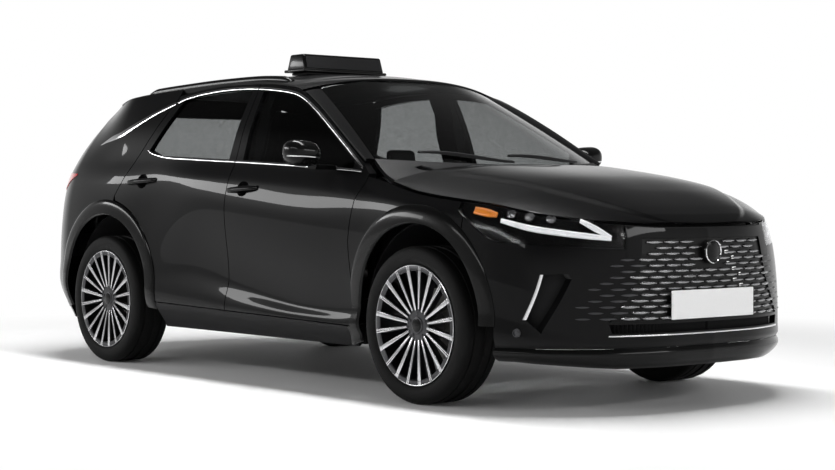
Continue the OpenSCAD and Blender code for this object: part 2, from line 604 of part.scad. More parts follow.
module roof_rails() {
  places = span(ra(60), ra(1440), 16);
  grid = function(up) [for (x = places) let (y = flank_y(x, roof_edge_z(x))) [for (s = [1, -1])
    let (yy = rail_place * y + s * rail_width / 2) [x, yy, roof_point(x, yy / y, 0).z + up]]];
  color([0.1, 0.1, 0.1]) both() sheet(grid(rail_lift), grid(1));
}
sign_x = mid(0.36);
sign_base = belt_height + roof_rise + 0.8;
module sign_mount() {
  color([0.1, 0.1, 0.1]) translate([sign_x - sign_depth / 2 + 20, -sign_width / 2 + 40, sign_base])
    cube([sign_depth - 40, sign_width - 80, sign_foot]);
}
module sign_box() {
  z = sign_base + sign_foot + seat_gap;
  color([0.06, 0.06, 0.06]) translate([sign_x, 0, z]) rotate([90, 0, 0])
    linear_extrude(sign_width, center = true)
      polygon([[-sign_depth / 2, 0], [sign_depth / 2, 0], [sign_depth / 2 - 30, sign_height],
               [-sign_depth / 2 + 30, sign_height]]);
}

// Frame and floor

sill_outer = half_width - 143;
sill_inner = half_width - 265;
sill_top = 330;
floor_top = 300;
floor_bottom = 262;
module beam(x0, x1, y0, y1, z0, z1) { translate([x0, y0, z0]) cube([x1 - x0, y1 - y0, z1 - z0]); }
module floor_pan() {
  color([0.15, 0.15, 0.15]) {
    beam(ra(560), fa(-500), -sill_inner, sill_inner, floor_bottom, floor_top);
    both() beam(ra(560), fa(-515), sill_inner - 1, sill_outer, 245, sill_top);
    beam(ra(500), ra(562), -sill_inner, sill_inner, floor_bottom, 520);
    beam(ta(260), ra(501), -510, 510, 480, 520);
    both() beam(ta(150), ra(501), 420, 500, 400, 481);
    beam(ta(150), ta(182), -520, 520, 380, 520);
    both() beam(fa(-502), na(-200), 400, 470, 420, 500);
    beam(fa(-502), fa(-470), -sill_inner, sill_inner, floor_bottom, 1040);
    beam(na(-222), na(-190), -560, 560, 400, 520);
    beam(ra(985), fa(-500), -110, 110, floor_top - 1, 380);
  }
}
// Behind the doors' hinges and locks the frame leaves room for the edge that swings in
post_room = 22;
post_inner = 125;
post_rear = door_split - 104;
post_front = door_split + 60;
rail_inner = 86;
hinge_post_depth = 152;
seal_width = 14;
seal_gap = 0.6;
module side_frame() {
  post_depth = function(z) z < bz(-20) ? door_thickness + post_room : z < bz(120) ? door_thickness + 4 : frame_thickness + 14;
  post = function(x0, x1, deep) [for (x = [x0, x1]) let (st = station(x), top = roof_edge_z(x) - panel_gap)
    [for (z = [sill_top + seat_gap, 376, 450, 600, 800, 1000, bz(-30), bz(100), bz(180), lerp(bz(180), top, 0.5), top])
      let (p = skin_at(st, z, deep ? (z > bz(200) ? rail_inner : post_inner) : post_depth(z)))
        [p.x, min(p.y, z < 400 ? sill_outer : sill_outer + 30), p.z]]];
  // Post in front of the front door, far enough in for the door's front edge
  hinge_post = function(d) [for (x = [fa(-575), fa(-516)]) let (st = station(x))
    [for (z = [sill_top + seat_gap, 600, 850, bz(-90)]) skin_at(st, z, d)]];
  rail_places = span(ra(0), fa(-1265), 8);
  rail = function(d) [for (x = rail_places) let (st = station(x)) [for (k = [0, 1])
    skin_at(st, lerp(top_line(max(x, ra(515))) + 30, roof_edge_z(x) - panel_gap, k), d)]];
  seal = function(x, d) level_grid([x - seal_width, x], [2.5, 3, 3.5], flat_inset(d));
  sheet(post(post_rear, post_front, false), post(post_rear, post_front, true));
  sheet(rail(frame_thickness + 14), rail(rail_inner));
  sheet(hinge_post(hinge_post_depth), hinge_post(hinge_post_depth + 26));
  for (x = [post_rear + 18, post_front - 2])
    sheet(seal(x, door_thickness + seal_gap), seal(x, door_thickness + post_room + 8));
}
module side_frames() { color([0.1, 0.1, 0.1]) both() side_frame(); }

module engine_block() { color([0.4, 0.4, 0.4]) beam(fa(60), fa(560), -400 + seat_gap, 400 - seat_gap, 360 + seat_gap, 860); }
module exhaust() {
  color([0.5, 0.5, 0.5]) {
    translate([ra(580), 0, floor_bottom - 32 - seat_gap]) rotate([0, 90, 0]) cylinder(r = 32, h = 1300);
    beam(ta(200), ta(440), -440, 440, 270, 400 - seat_gap);
  }
}

// Running gear

king_pin = track_front / 2 - 75;
pin_radius = 12;
arm_rise = 150;
spindle_radius = 30;
wheel_front_y = track_front / 2;
wheel_rear_y = track_rear / 2;
module hub_pin(y0, y1) { translate([0, y0, 0]) rotate([-90, 0, 0]) cylinder(r = spindle_radius - seat_gap, h = y1 - y0); }
arm_half = 17;
module front_subframe() {
  color([0.2, 0.2, 0.2]) difference() {
    union() {
      beam(fa(-180), fa(180), -400 + seat_gap, 400 - seat_gap, 300, 360);
      both() beam(fa(-34), fa(34), 362, 400 - seat_gap, axle_height - arm_rise - 14, axle_height + arm_rise + 14);
      both() for (s = [-1, 1]) translate([front_axle, 0, axle_height + s * arm_rise - 14]) {
        beam(-arm_half, arm_half, 380, king_pin, 0, 28);
        translate([0, king_pin, 0]) cylinder(r = arm_half, h = 28);
      }
    }
    both() translate([front_axle, king_pin, axle_height - 2 * arm_rise]) cylinder(r = pin_radius, h = 4 * arm_rise);
  }
}
module knuckle() {
  color([0.3, 0.3, 0.3]) translate([front_axle, 0, axle_height]) {
    translate([0, king_pin, -arm_rise - 14]) cylinder(r = pin_radius - seat_gap, h = 2 * arm_rise + 28);
    beam(-30, 30, king_pin - 16, king_pin + 14, -arm_rise + 20, arm_rise - 20);
    hub_pin(king_pin, wheel_front_y + 30);
  }
}
module rear_axle_beam() {
  color([0.2, 0.2, 0.2]) translate([rear_axle, 0, axle_height]) {
    beam(-45, 45, -640, 640, -45, 20);
    both() hub_pin(600, wheel_rear_y + 30);
    both() beam(-30, 200, 430, 490, -20, 400 - axle_height - seat_gap);
  }
}
bead = rim_radius - 16;
rim_half = tyre_width / 2 - 17;
module tyre() {
  w = tyre_width / 2;
  color([0.05, 0.05, 0.05]) rotate([-90, 0, 0]) rotate_extrude($fn = 96) polygon([
    [bead + seat_gap, -rim_half], [rim_radius + 4, -rim_half], [rim_radius + 10, -rim_half - 6], [rim_radius + 36, -w],
    [tyre_radius - 24, -w + 3], [tyre_radius - 7, -w + 13], [tyre_radius, -w + 32], [tyre_radius, w - 32],
    [tyre_radius - 7, w - 13], [tyre_radius - 24, w - 3], [rim_radius + 36, w], [rim_radius + 10, rim_half + 6],
    [rim_radius + 4, rim_half], [bead + seat_gap, rim_half]]);
}
lug_circle = 57;
module rim() {
  edge = rim_half + seat_gap;
  barrel = bead - 12;
  color([0.7, 0.7, 0.72]) rotate([-90, 0, 0]) difference() {
    union() {
      rotate_extrude($fn = 96) polygon([
        [barrel, -edge - 9], [rim_radius, -edge - 9], [rim_radius, -edge], [bead, -edge], [bead, edge], [rim_radius, edge],
        [rim_radius, edge + 9], [barrel, edge + 9]]);
      translate([0, 0, 62]) cylinder(r = 82, h = 30);
      translate([0, 0, -30]) cylinder(r = 74, h = 93);
      translate([0, 0, -48]) cylinder(r = disc_radius, h = 22);
      for (i = [0:spoke_count - 1]) rotate(i * 360 / spoke_count) translate([70, 0, 66]) linear_extrude(34)
        polygon([[0, -9], [barrel - 66, -12], [barrel - 66, 12], [0, 9]]);
    }
    translate([0, 0, -60]) cylinder(r = spindle_radius, h = 112);
    for (i = [0:4]) rotate(i * 72) translate([lug_circle, 0, 80]) cylinder(r = 11, h = 20);
  }
}
module at_wheel(x, y) { translate([x, y, axle_height]) children(); }

// Cabin

wheel_place = [fa(-880), 370, 950];
wheel_tilt = -65;
column_radius = 22;
module dashboard() {
  color([0.1, 0.1, 0.1]) difference() {
    side_prism([[fa(-502) - seat_gap, 620], [fa(-502) - seat_gap, 1040], [fa(-580), 1075], [fa(-780), 1030], [fa(-820), 960],
                [fa(-760), 640]], half_width - 295);
    translate(wheel_place) rotate([0, wheel_tilt, 0]) translate([0, 0, -210]) cylinder(r = column_radius + seat_gap, h = 200);
  }
}
module side_prism(points, half) { side_cut(points, -half, half); }
module seat(x, y, w) {
  translate([0, y, 0]) {
    side_prism([[x, floor_top + seat_gap], [x + 470, floor_top + seat_gap], [x + 500, 500], [x + 480, 600], [x + 60, 560],
                [x - 130, 1110], [x - 240, 1090], [x - 60, 500]], w / 2);
    side_prism([[x - 150, 1109], [x - 165, 1270], [x - 245, 1262], [x - 225, 1090]], 125);
  }
}
module front_seats() { color([0.12, 0.12, 0.12]) both() seat(mid(0.48), 370, 500); }
module rear_seat() {
  color([0.12, 0.12, 0.12]) side_prism([[ra(563), floor_top + seat_gap], [ra(960), floor_top + seat_gap], [ra(980), 600],
    [ra(580), 570], [ra(390), 1120], [ra(300), 1100], [ra(470), 521], [ra(563), 521]], 640);
}
module steering_wheel() {
  color([0.08, 0.08, 0.08]) translate(wheel_place) rotate([0, wheel_tilt, 0]) {
    rotate_extrude() translate([180, 0]) circle(r = 15);
    translate([0, 0, -12]) cylinder(r = 60, h = 24);
    for (a = [0, 90, 180]) rotate(a + 90) translate([55, -14, -8]) cube([115, 28, 16]);
    translate([0, 0, -150]) cylinder(r = column_radius, h = 140);
  }
}
// Door mirror: a housing on a foot
mirror_x = fa(-790);
mirror_y = half_width + 50;
mirror_z = bz(42);
mirror_size = [86, 88, 68];
module mirror_shell() {
  across = [1, 0.9, 0.7, 0.35, 0, -0.35, -0.7, -0.9, -1];
  half = function(x, y) max(3, mirror_size.z * pow(max(0, 1 - pow(abs(x), 2.4)), 0.5) * pow(max(0, 1 - pow(abs(y), 3)), 0.45));
  grid = function(s) [for (x = [-1, -0.92, -0.6, 0, 0.5, 0.85, 1]) [for (y = across)
    [mirror_x + mirror_size.x * x * (1 - 0.12 * y), mirror_y + mirror_size.y * y, mirror_z + s * half(x, y) + 6 * y]]];
  color("black") sheet(grid(1), grid(-1));
  foot_y = flank_y(mirror_x + 40, bz(-42)) - 1;
  color("black") translate([mirror_x + 10, 0, bz(-34)])
    side_cut([[0, 0], [70, -6], [84, 14], [20, 22]], foot_y, mirror_y - 30);
}
handle_reach = 30;
module handle(x0, x1, z) {
  places = span(x0, x1, 6);
  grid = function(d) [for (x = places) let (st = station(x)) [for (h = [-14, 0, 14]) skin_at(st, z + (x - x0) * 0.05 + h, d)]];
  color("black") sheet(grid(-handle_reach), grid(-seat_gap));
}
module wheel_liner(x, r, y0, y1) {
  color([0.1, 0.1, 0.1]) translate([x, y1, arch_height]) rotate([90, 0, 0]) difference() {
    cylinder(r = r + 12, h = y1 - y0, $fn = 96);
    translate([0, 0, -1]) cylinder(r = r + 4, h = y1 - y0 - 5, $fn = 96);
    translate([0, 0, -1]) cylinder(r = r - 190, h = y1 - y0 + 2, $fn = 96);
    translate([-r - 20, -r - 40, -1]) cube([2 * r + 40, r - 20, y1 - y0 + 2]);
  }
}
module wheel_liners_front() { both() wheel_liner(front_axle, arch_front, 470 + seat_gap, half_width - 117); }
module wheel_liners_rear() { both() wheel_liner(rear_axle, arch_rear, 510 + seat_gap, half_width - 117); }
module pillars() { both() pillar(); }

floor_pan();
engine_block();
front_subframe();
rear_axle_beam();
exhaust();
roof();
side_frames();
quarter_panels();
wings();
pillars();
sill_trims();
arch_trims();
front_bumper();
grille();
front_lip();
rear_bumper();
windscreen();
cowl();
headlamps();
tail_lamps();
roof_rails();
sign_mount();
sign_box();
number_plate();
dashboard();
front_seats();
rear_seat();
steering_wheel();
wheel_liners_front();
wheel_liners_rear();
bonnet();
tailgate();
tailgate_glass();
door_front_left();
door_rear_left();
mirror([0, 1, 0]) door_front_left();  // door_front_right
mirror([0, 1, 0]) door_rear_left();  // door_rear_right
door_glass(span(door_split, fa(-500), 6), front_window);  // glass_front_left
door_glass(span(ra(250), door_split, 6), rear_window);  // glass_rear_left
mirror_shell();  // mirror_left
knuckle();  // knuckle_left
at_wheel(front_axle, wheel_front_y) tyre();  // tyre_front_left
at_wheel(front_axle, wheel_front_y) rim();  // rim_front_left
at_wheel(rear_axle, wheel_rear_y) tyre();  // tyre_rear_left
at_wheel(rear_axle, wheel_rear_y) rim();  // rim_rear_left
mirror([0, 1, 0]) door_glass(span(door_split, fa(-500), 6), front_window);  // glass_front_right
mirror([0, 1, 0]) door_glass(span(ra(250), door_split, 6), rear_window);  // glass_rear_right
mirror([0, 1, 0]) mirror_shell();  // mirror_right
mirror([0, 1, 0]) knuckle();  // knuckle_right
mirror([0, 1, 0]) at_wheel(front_axle, wheel_front_y) tyre();  // tyre_front_right
mirror([0, 1, 0]) at_wheel(front_axle, wheel_front_y) rim();  // rim_front_right
mirror([0, 1, 0]) at_wheel(rear_axle, wheel_rear_y) tyre();  // tyre_rear_right
mirror([0, 1, 0]) at_wheel(rear_axle, wheel_rear_y) rim();  // rim_rear_right
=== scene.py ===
# %% [markdown]
# # A crossover taxi in gloss black
#
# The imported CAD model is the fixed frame. This lesson dresses it: the body panels are laid again on the
# same surfaces with a fine grid, so that the gloss runs smoothly across the gaps, and the lamps, grille
# blades, bright strips, seats and wheels get the detail that shows from a few steps away.

# %% Load the frame
import json
import math
import bpy
import numpy as np
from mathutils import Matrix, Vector


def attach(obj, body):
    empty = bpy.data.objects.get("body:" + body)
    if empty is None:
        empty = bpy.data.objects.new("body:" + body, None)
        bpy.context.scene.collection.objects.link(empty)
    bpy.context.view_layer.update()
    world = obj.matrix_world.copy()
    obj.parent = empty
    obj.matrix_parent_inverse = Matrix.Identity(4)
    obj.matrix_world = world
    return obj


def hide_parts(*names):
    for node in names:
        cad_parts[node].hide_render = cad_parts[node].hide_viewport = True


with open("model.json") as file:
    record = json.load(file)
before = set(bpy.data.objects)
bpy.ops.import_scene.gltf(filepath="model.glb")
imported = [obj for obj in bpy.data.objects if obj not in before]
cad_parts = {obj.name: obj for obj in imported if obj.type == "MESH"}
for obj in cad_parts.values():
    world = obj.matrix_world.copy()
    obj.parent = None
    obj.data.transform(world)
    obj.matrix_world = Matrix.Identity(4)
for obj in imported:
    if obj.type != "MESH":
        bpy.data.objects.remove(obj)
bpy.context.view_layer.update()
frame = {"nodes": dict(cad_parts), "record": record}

nodes = frame["nodes"]
MM = 0.001  # the drawings are in millimetres and the scene is in metres
print("CAD nodes", len(nodes))

# %% [markdown]
# ## The camera
# The camera stands where the photo was taken: off the right front corner, about a metre above the ground,
# with a long lens. It could be placed by eye. It was fitted to the wheels, the plate and the nose
# instead, so that the model can be compared with the photo line by line.

# %% Camera
camera_data = bpy.data.cameras.new("camera")
camera = bpy.data.objects.new("camera", camera_data)
bpy.context.collection.objects.link(camera)
camera.location = (7.8057, -6.2318, 0.9742)
yaw, pitch = math.radians(140.19), math.radians(-1.233)
aim = Vector((math.cos(yaw) * math.cos(pitch), math.sin(yaw) * math.cos(pitch), math.sin(pitch)))
camera.rotation_euler = aim.to_track_quat("-Z", "Y").to_euler()
camera_data.sensor_width = 36
camera_data.lens = 76.57
camera_data.clip_end = 200
bpy.context.scene.camera = camera
print("lens", round(camera_data.lens, 2))

# %% [markdown]
# ## Finishes
# The car is gloss black paint under a clear coat, with bright metal strips, dark moulded plastic, tinted
# glass and soft dark leather. A finish could be a picture wrapped round the piece, but that has one scale
# and shows its seams. Each finish is one procedural material instead: noise in object space varies its
# colour and roughness a little, and gives the bump at the real scale of the grain.

# %% One finish
COAT_ROUGH, GRAIN_DETAIL, BUMP_DEPTH = 0.03, 4, 0.001


def material(name, color, rough, metallic=0.0, coat=0.0, noise=200.0, vary=0.25, bump=0.0, mottle=0.15,
             **more):
    """A procedural finish; more sets further inputs of the shader, with underscores for spaces."""
    mat = bpy.data.materials.new(name)
    mat.use_nodes = True
    nt = mat.node_tree
    bsdf = nt.nodes["Principled BSDF"]
    bsdf.inputs["Metallic"].default_value = metallic
    bsdf.inputs["Coat Weight"].default_value = coat
    bsdf.inputs["Coat Roughness"].default_value = COAT_ROUGH
    for key, value in more.items():
        bsdf.inputs[key.replace("_", " ")].default_value = value
    where = nt.nodes.new("ShaderNodeTexCoord")
    grain = nt.nodes.new("ShaderNodeTexNoise")
    grain.inputs["Scale"].default_value = noise
    grain.inputs["Detail"].default_value = GRAIN_DETAIL
    nt.links.new(where.outputs["Object"], grain.inputs["Vector"])
    spread = nt.nodes.new("ShaderNodeMapRange")
    spread.inputs["To Min"].default_value = rough * (1 - vary)
    spread.inputs["To Max"].default_value = rough * (1 + vary)
    nt.links.new(grain.outputs["Fac"], spread.inputs["Value"])
    nt.links.new(spread.outputs["Result"], bsdf.inputs["Roughness"])
    # of a colour mix, inputs 6 and 7 are the two colours and output 2 is their mix
    tint = nt.nodes.new("ShaderNodeMix")
    tint.data_type = "RGBA"
    tint.inputs[6].default_value = (*[c * (1 - mottle) for c in color], 1)
    tint.inputs[7].default_value = (*[min(1, c * (1 + mottle)) for c in color], 1)
    nt.links.new(grain.outputs["Fac"], tint.inputs[0])
    nt.links.new(tint.outputs[2], bsdf.inputs["Base Color"])
    if bump:
        rise = nt.nodes.new("ShaderNodeBump")
        rise.inputs["Strength"].default_value = bump
        rise.inputs["Distance"].default_value = BUMP_DEPTH
        nt.links.new(grain.outputs["Fac"], rise.inputs["Height"])
        nt.links.new(rise.outputs["Normal"], bsdf.inputs["Normal"])
    return mat


# %% [markdown]
# All the finishes stand in one table, with colour and roughness first and then what sets each one apart.
# The paint could be a plain glossy black. Its base has next to no shine here, so that what shows is the
# clear coat over it, as on a real car.

# %% The car's finishes
FINISHES = {
    "body_paint": ((0.0025, 0.0025, 0.0027), 0.34,
                   {"coat": 0.55, "noise": 900, "Coat_IOR": 1.25, "Specular_IOR_Level": 0.04}),
    "gloss_black": ((0.003, 0.003, 0.003), 0.2,
                    {"coat": 0.4, "noise": 600, "Coat_IOR": 1.25, "Specular_IOR_Level": 0.1}),
    "underbody": ((0.01, 0.01, 0.01), 0.8, {"noise": 90, "bump": 0.3, "Specular_IOR_Level": 0.1}),
    "cast_metal": ((0.32, 0.32, 0.33), 0.5, {"metallic": 1.0, "noise": 260, "bump": 0.25}),
    "bare_steel": ((0.40, 0.39, 0.37), 0.4, {"metallic": 1.0, "noise": 120, "bump": 0.05}),
    "dark_plastic": ((0.008, 0.008, 0.0085), 0.5, {"noise": 1400, "bump": 0.25, "Specular_IOR_Level": 0.15}),
    "grille_black": ((0.003, 0.003, 0.003), 0.35, {"noise": 500, "Specular_IOR_Level": 0.15}),
    "tinted_glass": ((0.42, 0.43, 0.43), 0.02, {"noise": 40, "Transmission_Weight": 1.0, "IOR": 1.18}),
    "lamp_glass": ((0.95, 0.96, 0.98), 0.02, {"noise": 40, "Transmission_Weight": 1.0, "IOR": 1.15}),
    "red_lens": ((0.42, 0.008, 0.01), 0.14,
                 {"coat": 0.5, "noise": 300, "bump": 0.05, "Emission_Color": (0.5, 0.01, 0.01, 1),
                  "Emission_Strength": 0.12}),
    "amber_lens": ((0.85, 0.26, 0.02), 0.2, {"coat": 0.6, "noise": 500, "bump": 0.05}),
    "lamp_white": ((0.88, 0.90, 0.92), 0.25,
                   {"coat": 0.5, "noise": 300, "Emission_Strength": 0.25, "Emission_Color": (1, 1, 1, 1)}),
    "plate_white": ((0.8, 0.8, 0.8), 0.4, {"noise": 700, "bump": 0.05}),
    "seat_leather": ((0.012, 0.0115, 0.011), 0.5, {"noise": 700, "bump": 0.4, "Specular_IOR_Level": 0.3}),
    "tyre_rubber": ((0.003, 0.003, 0.003), 0.65, {"noise": 300, "bump": 0.2, "Specular_IOR_Level": 0.15}),
    "wheel_alloy": ((0.52, 0.52, 0.53), 0.22, {"metallic": 1.0, "noise": 500}),
    "dark_alloy": ((0.06, 0.06, 0.063), 0.35, {"metallic": 1.0, "noise": 500}),
    "blade_metal": ((0.26, 0.26, 0.265), 0.25, {"metallic": 1.0, "noise": 500}),
    "bright_trim": ((0.72, 0.72, 0.73), 0.1, {"metallic": 1.0, "noise": 300}),
}
FINISH = {name: material(name, color, rough, **more) for name, (color, rough, more) in FINISHES.items()}
slot_of = {p["node"]: p["material_slot"] for p in frame["record"]["subparts"]}
for name, obj in nodes.items():
    obj.data.materials.clear()
    obj.data.materials.append(FINISH[slot_of[name]])
print("finishes", len(FINISH))

# %% [markdown]
# ## The body's surface
# Every panel lies on one surface. A table gives the car's plan line and section at stations from the
# middle of the tail round the left flank to the middle of the nose, and a smooth curve runs through it.
# Each panel could be drawn on its own, but then the highlights would break at every gap.

# %% Sizes and the flank table
NOSE, TAIL, FRONT, REAR = 2445.0, -2445.0, 1415.0, -1435.0
HALF, BELT, GLASS_H, ROOF_RISE = 955.0, 1150.0, 405.0, 516.0
GAP, SEAT = 6.0, 0.3
DOOR_T, FRAME_T, FRAME_W, SKIN, LID_T, GLASS_T = 64.0, 34.0, 34.0, 14.0, 34.0, 8.0
ARCH_Z, ARCH_F, ARCH_R, ARCH_TRIM = 395.0, 452.0, 470.0, 93.0


def mid(t):
    """A place between the axles, from 0 at the rear one to 1 at the front one."""
    return REAR + t * (FRONT - REAR)


def bz(d):
    """A height measured from the window line."""
    return BELT + d


# columns: place along the side, x, inset of the plan line, then height and inset of the bottom edge, sill,
# hollow, crest, shoulder and window line
FLANK = [
    [TAIL - 640, TAIL, HALF, 230, 100, 430, 5, 560, 0, 800, 10, bz(-170), 28, bz(-22), 80],
    [TAIL - 345, TAIL + 14, 673, 230, 100, 430, 5, 560, 0, 800, 10, bz(-170), 28, bz(-22), 80],
    [TAIL - 145, TAIL + 52, 473, 230, 100, 430, 5, 560, 0, 800, 10, bz(-168), 28, bz(-21), 80],
    [TAIL + 30, TAIL + 120, 303, 230, 98, 430, 4, 570, 0, 800, 10, bz(-164), 30, bz(-20), 80],
    [TAIL + 200, TAIL + 228, 163, 230, 92, 430, 2, 590, 0, 800, 10, bz(-158), 33, bz(-12), 82],
    [TAIL + 370, TAIL + 375, 79, 232, 82, 430, 0, 600, 0, 800, 8, bz(-140), 36, bz(5), 86],
    [TAIL + 545, TAIL + 545, 30, 235, 76, 425, 0, 600, 0, 800, 6, bz(-120), 38, bz(28), 90],
    [REAR, REAR, 2, 300, 40, 420, 8, 600, 0, 800, 2, bz(-100), 40, bz(45), 92],
    [REAR + 480, REAR + 480, 17, 250, 85, 384, 0, 570, 6, 820, 18, bz(-90), 44, bz(42), 86],
    [mid(0.33), mid(0.33), 29, 245, 85, 374, 0, 590, 26, 915, 6, bz(-85), 28, bz(22), 76],
    [mid(0.5), mid(0.5), 33, 240, 85, 362, 6, 500, 36, 880, 0, bz(-110), 26, bz(0), 74],
    [mid(0.68), mid(0.68), 33, 236, 85, 345, 18, 430, 38, 835, 0, bz(-145), 28, bz(-28), 78],
    [FRONT - 430, FRONT - 430, 27, 236, 85, 338, 22, 440, 34, 790, 4, bz(-185), 24, bz(-65), 82],
    [FRONT, FRONT, 7, 300, 40, 400, 10, 560, 0, 780, 0, bz(-220), 22, bz(-150), 62],
    [NOSE - 540, NOSE - 540, 35, 228, 70, 330, 0, 460, 0, 660, 0, bz(-310), 26, bz(-208), 72],
    [NOSE - 365, NOSE - 379, 89, 225, 80, 320, 0, 420, 0, 620, 0, bz(-360), 28, bz(-236), 84],
    [NOSE - 195, NOSE - 255, 193, 225, 90, 310, 2, 380, 0, 580, 2, bz(-390), 28, bz(-260), 76],
    [NOSE - 30, NOSE - 148, 315, 225, 95, 305, 6, 345, 0, 560, 8, bz(-405), 28, bz(-275), 60],
    [NOSE + 150, NOSE - 66, 473, 225, 95, 305, 8, 345, 0, 560, 8, bz(-410), 24, bz(-288), 50],
    [NOSE + 345, NOSE - 18, 660, 225, 95, 305, 8, 345, 0, 560, 10, bz(-410), 26, bz(-298), 48],
    [NOSE + 640, NOSE, HALF, 225, 95, 305, 8, 345, 0, 560, 10, bz(-410), 26, bz(-300), 48],
]
LEAN_HALF, LEAN_TOP, TOP_LEVEL, LEAN_RUN = 66.0, 190.0, 1.15, 560.0
print("stations", len(FLANK))

# %% [markdown]
# A station is the section of the body at one place. Blender's own curves could carry the sections too,
# but numbers can be asked for the skin at any height, and every cut below needs that.

# %% Curves and sections
WINDOW_ROW = 5  # the row of a section that lies on the window line


def smooth(t, table):
    """A smooth curve through rows of [place, column, column ...]."""
    rows = np.asarray(table, float)
    k, v = rows[:, 0], rows[:, 1:]
    t = np.atleast_1d(np.asarray(t, float))
    i = np.clip(np.searchsorted(k, t, side="right") - 1, 0, len(k) - 2)
    lo = np.maximum(np.arange(len(k)) - 1, 0)
    hi = np.minimum(np.arange(len(k)) + 1, len(k) - 1)
    slope = (v[hi] - v[lo]) / (k[hi] - k[lo])[:, None]
    h = (k[i + 1] - k[i])[:, None]
    u = ((t - k[i]) / (k[i + 1] - k[i]))[:, None]
    out = ((2 * u**3 - 3 * u**2 + 1) * v[i] + (u**3 - 2 * u**2 + u) * h * slope[i]
           + (3 * u**2 - 2 * u**3) * v[i + 1] + (u**3 - u**2) * h * slope[i + 1])
    return out[:, 0] if v.shape[1] == 1 else out


class Station:
    """One section of the body: its plan point, outward direction and rows of height and inset."""

    def __init__(self, s):
        v, p, q = smooth([s, s - 1, s + 1], FLANK)
        t = np.array([q[0] - p[0], p[1] - q[1]])
        t /= np.linalg.norm(t)
        k = min(1.0, max(0.0, (REAR - s) / LEAN_RUN))
        more = 1 + k * k * (3 - 2 * k)
        self.point = np.array([v[0], HALF - v[1]])
        self.out = np.array([-t[1], t[0]])
        rows = [[v[i], v[i + 1]] for i in range(2, 14, 2)]
        belt_z, belt_inset = rows[WINDOW_ROW]
        rows.append([belt_z + GLASS_H / 2, belt_inset + LEAN_HALF * more])
        rows.append([belt_z + GLASS_H * TOP_LEVEL, belt_inset + LEAN_TOP * more])
        self.rows = np.array(rows)

    def at(self, z, inset=0.0):
        z = np.atleast_1d(np.asarray(z, float))
        d = (smooth(z, self.rows) + inset)[:, None]
        return np.hstack([self.point - self.out * d, z[:, None]])

    def level(self, t):
        return np.interp(t, np.arange(len(self.rows)), self.rows[:, 0])


def level_grid(places, levels, inset=0.0):
    """Points of the skin at places along the side and at levels counted in the section's rows."""
    return np.array([st.at(st.level(levels), inset) for st in map(Station, places)])


def band_grid(places, low, high, steps, inset=0.0):
    """Points of the skin between two heights, each a function of the place."""
    return np.array([Station(s).at(np.linspace(low(s), high(s), steps), inset) for s in places])


def belt(x):
    """The height of the window line, which runs on as the bonnet's edge."""
    return Station(x).rows[WINDOW_ROW][0]


def flank_y(x, z):
    """Half the car's width at a place and a height."""
    return Station(x).at(z)[0][1]


def round_nose(g):
    """A grid of the left side, carried on round the nose to the right side."""
    return np.concatenate([g, (g * [1, -1, 1])[-2::-1]])


def round_tail(g):
    """A grid of the left side that starts on the right side and comes round the tail."""
    return np.concatenate([(g * [1, -1, 1])[:0:-1], g])


print("half width at the front axle", round(flank_y(FRONT, ARCH_Z), 1))

# %% [markdown]
# ## Lines on the side
# Windows, doors and panels end along lines that are drawn in the side view. They could be curves that are
# projected on to the skin. They are lists of points here, because the CAD model is cut along the same
# lines.

# %% Side-view lines
SPLIT = mid(0.437)
PANE_LOW, PANE_HIGH = 14, 4  # how far a pane's edges lie above the window line and below the top line


def top_at(f):
    """A height given as a share of the window's height."""
    return BELT + GLASS_H * f


WINDOW_TOP = [[REAR + 200, top_at(0.76)], [REAR + 515, top_at(0.924)], [mid(0.3014), top_at(1.002)],
              [mid(0.4165), top_at(1)], [FRONT - 1306, top_at(0.914)], [FRONT - 1146, top_at(0.80)],
              [FRONT - 850, top_at(0.417)], [FRONT - 500, top_at(-0.12)]]
ROOF_EDGE = [[REAR - 330, top_at(0.93)], [REAR, top_at(1.03)], [REAR + 515, top_at(1.10)],
             [mid(0.3014), top_at(1.125)], [mid(0.4165), top_at(1.12)], [FRONT - 1306, top_at(1.035)],
             [FRONT - 1196, top_at(0.955)]]
ROOF_MID = [[REAR - 330, -64], [REAR, -22], [REAR + 500, -2], [mid(0.35), 0], [mid(0.5), -12],
            [FRONT - 1146, -62]]
SILL = [[REAR + 480, 384], [mid(0.5), 362], [FRONT - 500, 342]]
FRONT_EDGE = np.array([[FRONT - 510, 342.6], [FRONT - 516, 744], [FRONT - 481, 955], [FRONT - 440, 1039],
                       [FRONT - 436, bz(-62)]])
REAR_EDGE = np.array([[REAR + 101, ARCH_Z + 584], [REAR + 205, bz(-15)], [REAR + 285, bz(100)],
                      [REAR + 490, top_at(1.0)]])


def top_line(x):
    return smooth(x, WINDOW_TOP)


def roof_edge_z(x):
    return smooth(x, ROOF_EDGE)


def roof_z(x):
    return BELT + ROOF_RISE + smooth(x, ROOF_MID)


def sill_line(x):
    return smooth(x, SILL)


def frame_top(x):
    return top_line(x) + FRAME_W


def pane_bottom(x):
    return belt(x) + PANE_LOW


def pane_top(x):
    return top_line(x) - PANE_HIGH


def line(xs, f):
    """Points [x, height] along one of these lines."""
    return [[x, float(np.ravel(f(x))[0])] for x in xs]


def span(a, b, n):
    """Places from a to b in n equal steps."""
    return np.linspace(a, b, n + 1)


